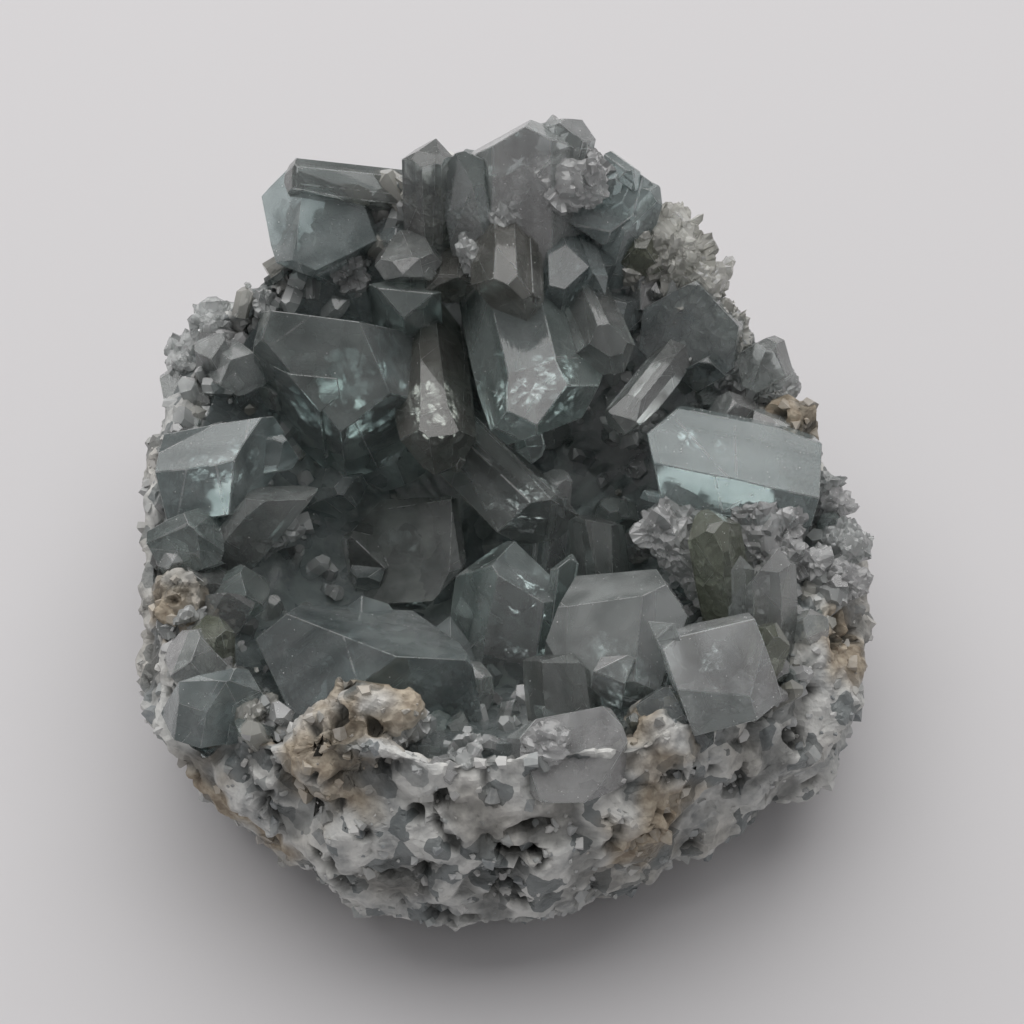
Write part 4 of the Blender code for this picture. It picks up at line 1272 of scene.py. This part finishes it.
def inside_group():
    """Crystal seen from outside: mist and bands along its growth, white wisps, specks, fine lines.

    Mist and bands are partly painted light refracted through the crystal; it gets painted shade
    towards its root and painted highlights along its rounded edges.
    """
    inputs = (
        ("Place", "NodeSocketVector"), ("Tint", "NodeSocketColor"), ("Cloud", "NodeSocketFloat"),
        ("Root", "NodeSocketFloat"), ("Edge", "NodeSocketFloat"), ("Least Roughness", "NodeSocketFloat"))
    outputs = (("Colour", "NodeSocketColor"), ("Roughness", "NodeSocketFloat"), ("Lines", "NodeSocketFloat"))
    group, entry, leave = new_group("crystal_inside", inputs, outputs)
    place = entry.outputs["Place"]
    banded = add_node(group, "ShaderNodeMapping", {"Vector": place, "Scale": BAND_SCALES})
    bands = pattern(group, banded.outputs["Vector"], BANDS)
    mist = pattern(group, place, MIST)
    # Bands and mist: partly growth zones and cloud, partly painted light refracted through the crystal
    light = maths(group, "ADD", scaled(group, bands, BAND_SHARE), scaled(group, mist, MIST_SHARE))
    # Painted shade: darker towards the root, deep among the other crystals
    rooted = scaled(group, ramp(group, entry.outputs["Root"], ROOT_SHADE_FROM, 1), ROOT_PAINTED_SHADE)
    light = maths(group, "MULTIPLY", light, maths(group, "SUBTRACT", 1, rooted))
    deep = mixed(group, TO_BLACK, entry.outputs["Tint"], BLACK)
    high = mixed(group, TO_WHITE, entry.outputs["Tint"], WHITE)
    body = mixed(group, light, deep, high)
    wisps = pattern(group, place, WISPS)
    where = pattern(group, place, WISP_PLACES)
    cloud = maths(group, "ADD", entry.outputs["Cloud"], LEAST_CLOUD)
    wisps = maths(group, "MULTIPLY", maths(group, "MULTIPLY", wisps, where), cloud, clamp=True)
    specks = pattern(group, place, SPECKS)
    specks = maths(group, "MULTIPLY", specks, maths(group, "POWER", entry.outputs["Cloud"], 2))
    white = maths(group, "MAXIMUM", wisps, specks)
    # Painted highlights in stretches along the rounded edges
    edge_highlight = maths(group, "MULTIPLY", entry.outputs["Edge"], pattern(group, place, EDGE_HIGHLIGHT_STRETCHES))
    white = maths(group, "MAXIMUM", white, edge_highlight)
    colour = mixed(group, scaled(group, white, MOST_WHITE), body, WISP_AND_HIGHLIGHT_WHITE)
    group.links.new(colour, leave.inputs["Colour"])
    smears = scaled(group, pattern(group, place, SMEARS), SMEAR_ROUGHNESS)
    rough = maths(group, "ADD", smears, entry.outputs["Least Roughness"])
    rough = maths(group, "ADD", scaled(group, white, WHITE_ROUGHNESS), rough)
    group.links.new(rough, leave.inputs["Roughness"])
    lined = add_node(group, "ShaderNodeMapping", {"Vector": place, "Scale": LINE_SCALES})
    lines = noise_at(group, lined.outputs["Vector"], scale=1, detail=2)
    group.links.new(lines, leave.inputs["Lines"])
    return group


def grit_group():
    """Fine crumbs of rock, as a mask."""
    inputs = (("Place", "NodeSocketVector"), ("Scale", "NodeSocketFloat"))
    group, entry, leave = new_group("grit", inputs, (("Mask", "NodeSocketFloat"),))
    crumbs = noise_at(group, entry.outputs["Place"], entry.outputs["Scale"], detail=4)
    group.links.new(ramp(group, crumbs, *GRIT_EDGE), leave.inputs["Mask"])
    return group


def use_group(tree, name, build, links):
    """A node that places a group, which is built the first time."""
    group = bpy.data.node_groups.get(name) or build()
    node = tree.nodes.new("ShaderNodeGroup")
    node.node_tree = group
    for socket, source in links.items():
        feed(tree, node.inputs[socket], source)
    return node.outputs


def celestite_material(group):
    """Crystal as clear as its group is, with what shows inside it and fine growth lines."""
    transmission, least, absorbed, density = GROUPS[group]
    made, tree, shader = new_material(f"celestite_{group}")
    inside = use_group(tree, "crystal_inside", inside_group, {
        "Place": stored(tree, "grain", "Vector"), "Tint": stored(tree, "tint", "Vector"),
        "Cloud": stored(tree, "cloud"), "Root": stored(tree, "root"), "Edge": stored(tree, "edge"),
        "Least Roughness": least})
    tree.links.new(inside["Colour"], shader.inputs["Base Color"])
    tree.links.new(inside["Roughness"], shader.inputs["Roughness"])
    lines = {"Strength": LINE_STRENGTH, "Distance": LINE_DEPTH, "Height": inside["Lines"]}
    tree.links.new(add_node(tree, "ShaderNodeBump", lines).outputs["Normal"], shader.inputs["Normal"])
    shader.inputs["IOR"].default_value = CRYSTAL_INDEX
    shader.inputs["Transmission Weight"].default_value = transmission
    shader.inputs["Metallic"].default_value = 0
    absorb = add_node(tree, "ShaderNodeVolumeAbsorption", {"Color": absorbed, "Density": density})
    output = next(node for node in tree.nodes if node.type == "OUTPUT_MATERIAL")
    tree.links.new(absorb.outputs["Volume"], output.inputs["Volume"])
    return made


def rind_material():
    """White-grey rock with blue-grey windows of crystal, tan and brown stains and painted shade in hollows.
    """
    made, tree, shader = new_material("rind")
    place = add_node(tree, "ShaderNodeTexCoord").outputs["Object"]
    stain = stored(tree, "stain")
    hollow_shade = stored(tree, "hollow_shade")
    patches = pattern(tree, place, ROCK_PATCHES)
    grit = use_group(tree, "grit", grit_group, {"Place": place, "Scale": ROCK_GRIT_SCALE})["Mask"]
    crooked = bent(tree, place, WINDOW_BEND_SCALE, WINDOW_BEND)
    cells = add_node(tree, "ShaderNodeTexVoronoi", {"Vector": crooked, "Scale": WINDOW_SCALE})
    windows = ramp(tree, cells.outputs["Color"], *WINDOW_EDGE)
    grey = mixed(tree, patches, ROCK_GREY, ROCK_WHITE)
    grey = mixed(tree, scaled(tree, grit, CRUMB_SHARE), grey, ROCK_CRUMBS)
    grey = mixed(tree, scaled(tree, windows, WINDOW_SHARE), grey, ROCK_WINDOWS)
    brown = mixed(tree, grit, ROCK_BROWN, ROCK_TAN)
    brown = mixed(tree, scaled(tree, windows, BROWN_WINDOW_SHARE), brown, ROCK_DARK_BROWN)
    colour = mixed(tree, stain, grey, brown)
    # Painted shade darkens the hollows
    shade = scaled(tree, ramp(tree, hollow_shade, *HOLLOW_SHADE_EDGE), HOLLOW_SHADE_STRENGTH)
    colour = mixed(tree, shade, colour, ROCK_HOLLOW_SHADE)
    tree.links.new(colour, shader.inputs["Base Color"])
    rough = maths(tree, "SUBTRACT", ROCK_ROUGHNESS, scaled(tree, windows, WINDOW_GLOSS))
    tree.links.new(rough, shader.inputs["Roughness"])
    stand = {"Strength": GRIT_STRENGTH, "Distance": GRIT_DEPTH, "Height": grit}
    bump = add_node(tree, "ShaderNodeBump", stand)
    tree.links.new(bump.outputs["Normal"], shader.inputs["Normal"])
    return made


def bent(tree, place, scale, reach):
    """A place moved about by noise, so that a pattern there has crooked borders."""
    waves = add_node(tree, "ShaderNodeTexNoise", {"Vector": place, "Scale": scale, "Detail": 2})
    moved = waves.outputs["Color"]
    for operation, links in (
            ("SUBTRACT", {1: (0.5, 0.5, 0.5)}), ("SCALE", {"Scale": reach}), ("ADD", {1: place})):
        links = {0: moved, **links}
        moved = add_node(tree, "ShaderNodeVectorMath", links, operation=operation).outputs["Vector"]
    return moved


def grain_material():
    """Grains of the rock and dust, each of its own colour, a little mottled."""
    made, tree, shader = new_material("grains")
    place = add_node(tree, "ShaderNodeTexCoord").outputs["Object"]
    tone = stored(tree, "tint", "Vector")
    grit = use_group(tree, "grit", grit_group, {"Place": place, "Scale": GRAIN_GRIT_SCALE})["Mask"]
    colour = mixed(tree, scaled(tree, grit, GRAIN_GRIT), tone, GRAIN_CRUMBS)
    tree.links.new(colour, shader.inputs["Base Color"])
    rough = maths(tree, "ADD", scaled(tree, grit, GRAIN_GRIT), GRAIN_ROUGHNESS)
    tree.links.new(rough, shader.inputs["Roughness"])
    return made


def veil_material():
    """Feathery fracture, thin towards its edge, that mirrors light as a gap in a crystal does."""
    made, tree, shader = new_material("veil")
    place = add_node(tree, "ShaderNodeTexCoord").outputs["Object"]
    wisp = stored(tree, "wisp")
    streaks = noise_at(tree, place, *STREAKS)
    outline = maths(tree, "ADD", streaks, scaled(tree, wisp, 0.5))
    alpha = scaled(tree, ramp(tree, outline, *VEIL_OUTLINE), VEIL_OPACITY)
    tree.links.new(alpha, shader.inputs["Alpha"])
    colour = mixed(tree, ramp(tree, streaks, *VEIL_TONES), VEIL_GREY, VEIL_WHITE)
    tree.links.new(colour, shader.inputs["Base Color"])
    shader.inputs["Metallic"].default_value = 1
    shader.inputs["Roughness"].default_value = VEIL_ROUGHNESS
    return made


def floor_material():
    """Plain pale matt floor."""
    made, _, shader = new_material("floor")
    shader.inputs["Base Color"].default_value = FLOOR_COLOUR
    shader.inputs["Roughness"].default_value = FLOOR_ROUGHNESS
    return made


def add_floor():
    """The pale floor that the piece stands on."""
    deselect_all()
    bpy.ops.mesh.primitive_plane_add(size=FLOOR_SIZE)
    floor = bpy.context.object
    floor.name = "floor"
    floor.data.materials.append(floor_material())


def add_light():
    """A large soft light overhead and behind, and pale surroundings."""
    world = bpy.data.worlds.new("surroundings")
    world.use_nodes = True
    sky = world.node_tree.nodes["Background"].inputs
    sky["Color"].default_value = WORLD_COLOUR
    sky["Strength"].default_value = WORLD_STRENGTH
    bpy.context.scene.world = world
    data = bpy.data.lights.new("overhead", "AREA")
    data.shape = "RECTANGLE"
    data.size, data.size_y = LIGHT_SIZE
    data.energy = LIGHT_POWER
    data.color = LIGHT_COLOUR
    light = bpy.data.objects.new("overhead", data)
    light.location = LIGHT_PLACE
    light.rotation_euler = (-Vector(LIGHT_PLACE)).to_track_quat("-Z", "Y").to_euler()
    bpy.context.scene.collection.objects.link(light)


def add_camera():
    """The photograph's view."""
    data = bpy.data.cameras.new("view")
    data.lens = VIEW_LENS
    data.sensor_width = SENSOR
    data.clip_start = 10 * MM
    camera = bpy.data.objects.new("view", data)
    camera.location = VIEW_EYE
    camera.rotation_euler = (math.pi / 2 - VIEW_RISE, 0, 0)
    bpy.context.scene.collection.objects.link(camera)
    bpy.context.scene.camera = camera


def build_druse():
    """All the crystals, fused group by group, the clear ones with the bed that all root in."""
    grown = new_collection("grown_crystals")
    veils = new_collection("veils")
    bed = build_bed()
    grow_crystals(grown, veils)
    join_veils(veils)
    grow_tiny(grown, random.Random(SEED + 2))
    firsts = {"clear": bed}
    for piece in grown.objects:
        firsts.setdefault(LOOKS[piece["look"]][0], piece)
    return [join_crystals(group, firsts[group], grown) for group in GROUPS]


def main():
    """Model the pieces, dress them, and set up the view and the light."""
    noise.seed_set(SEED)
    add_camera()
    add_light()
    add_floor()
    bpy.context.scene.view_settings.view_transform = "Standard"
    crystals = build_druse()
    rock = build_rock()
    dress(rock, rind_material())
    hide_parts("matrix")
    finish = random.Random(SEED + 3)
    chunks = model_chunks(finish)
    grains = grain_material()
    dress(build_grains(rock, chunks, finish), grains)
    dress(build_dust(crystals, chunks, finish), grains)
    for chunk in chunks:
        bpy.data.objects.remove(chunk, do_unlink=True)


main()
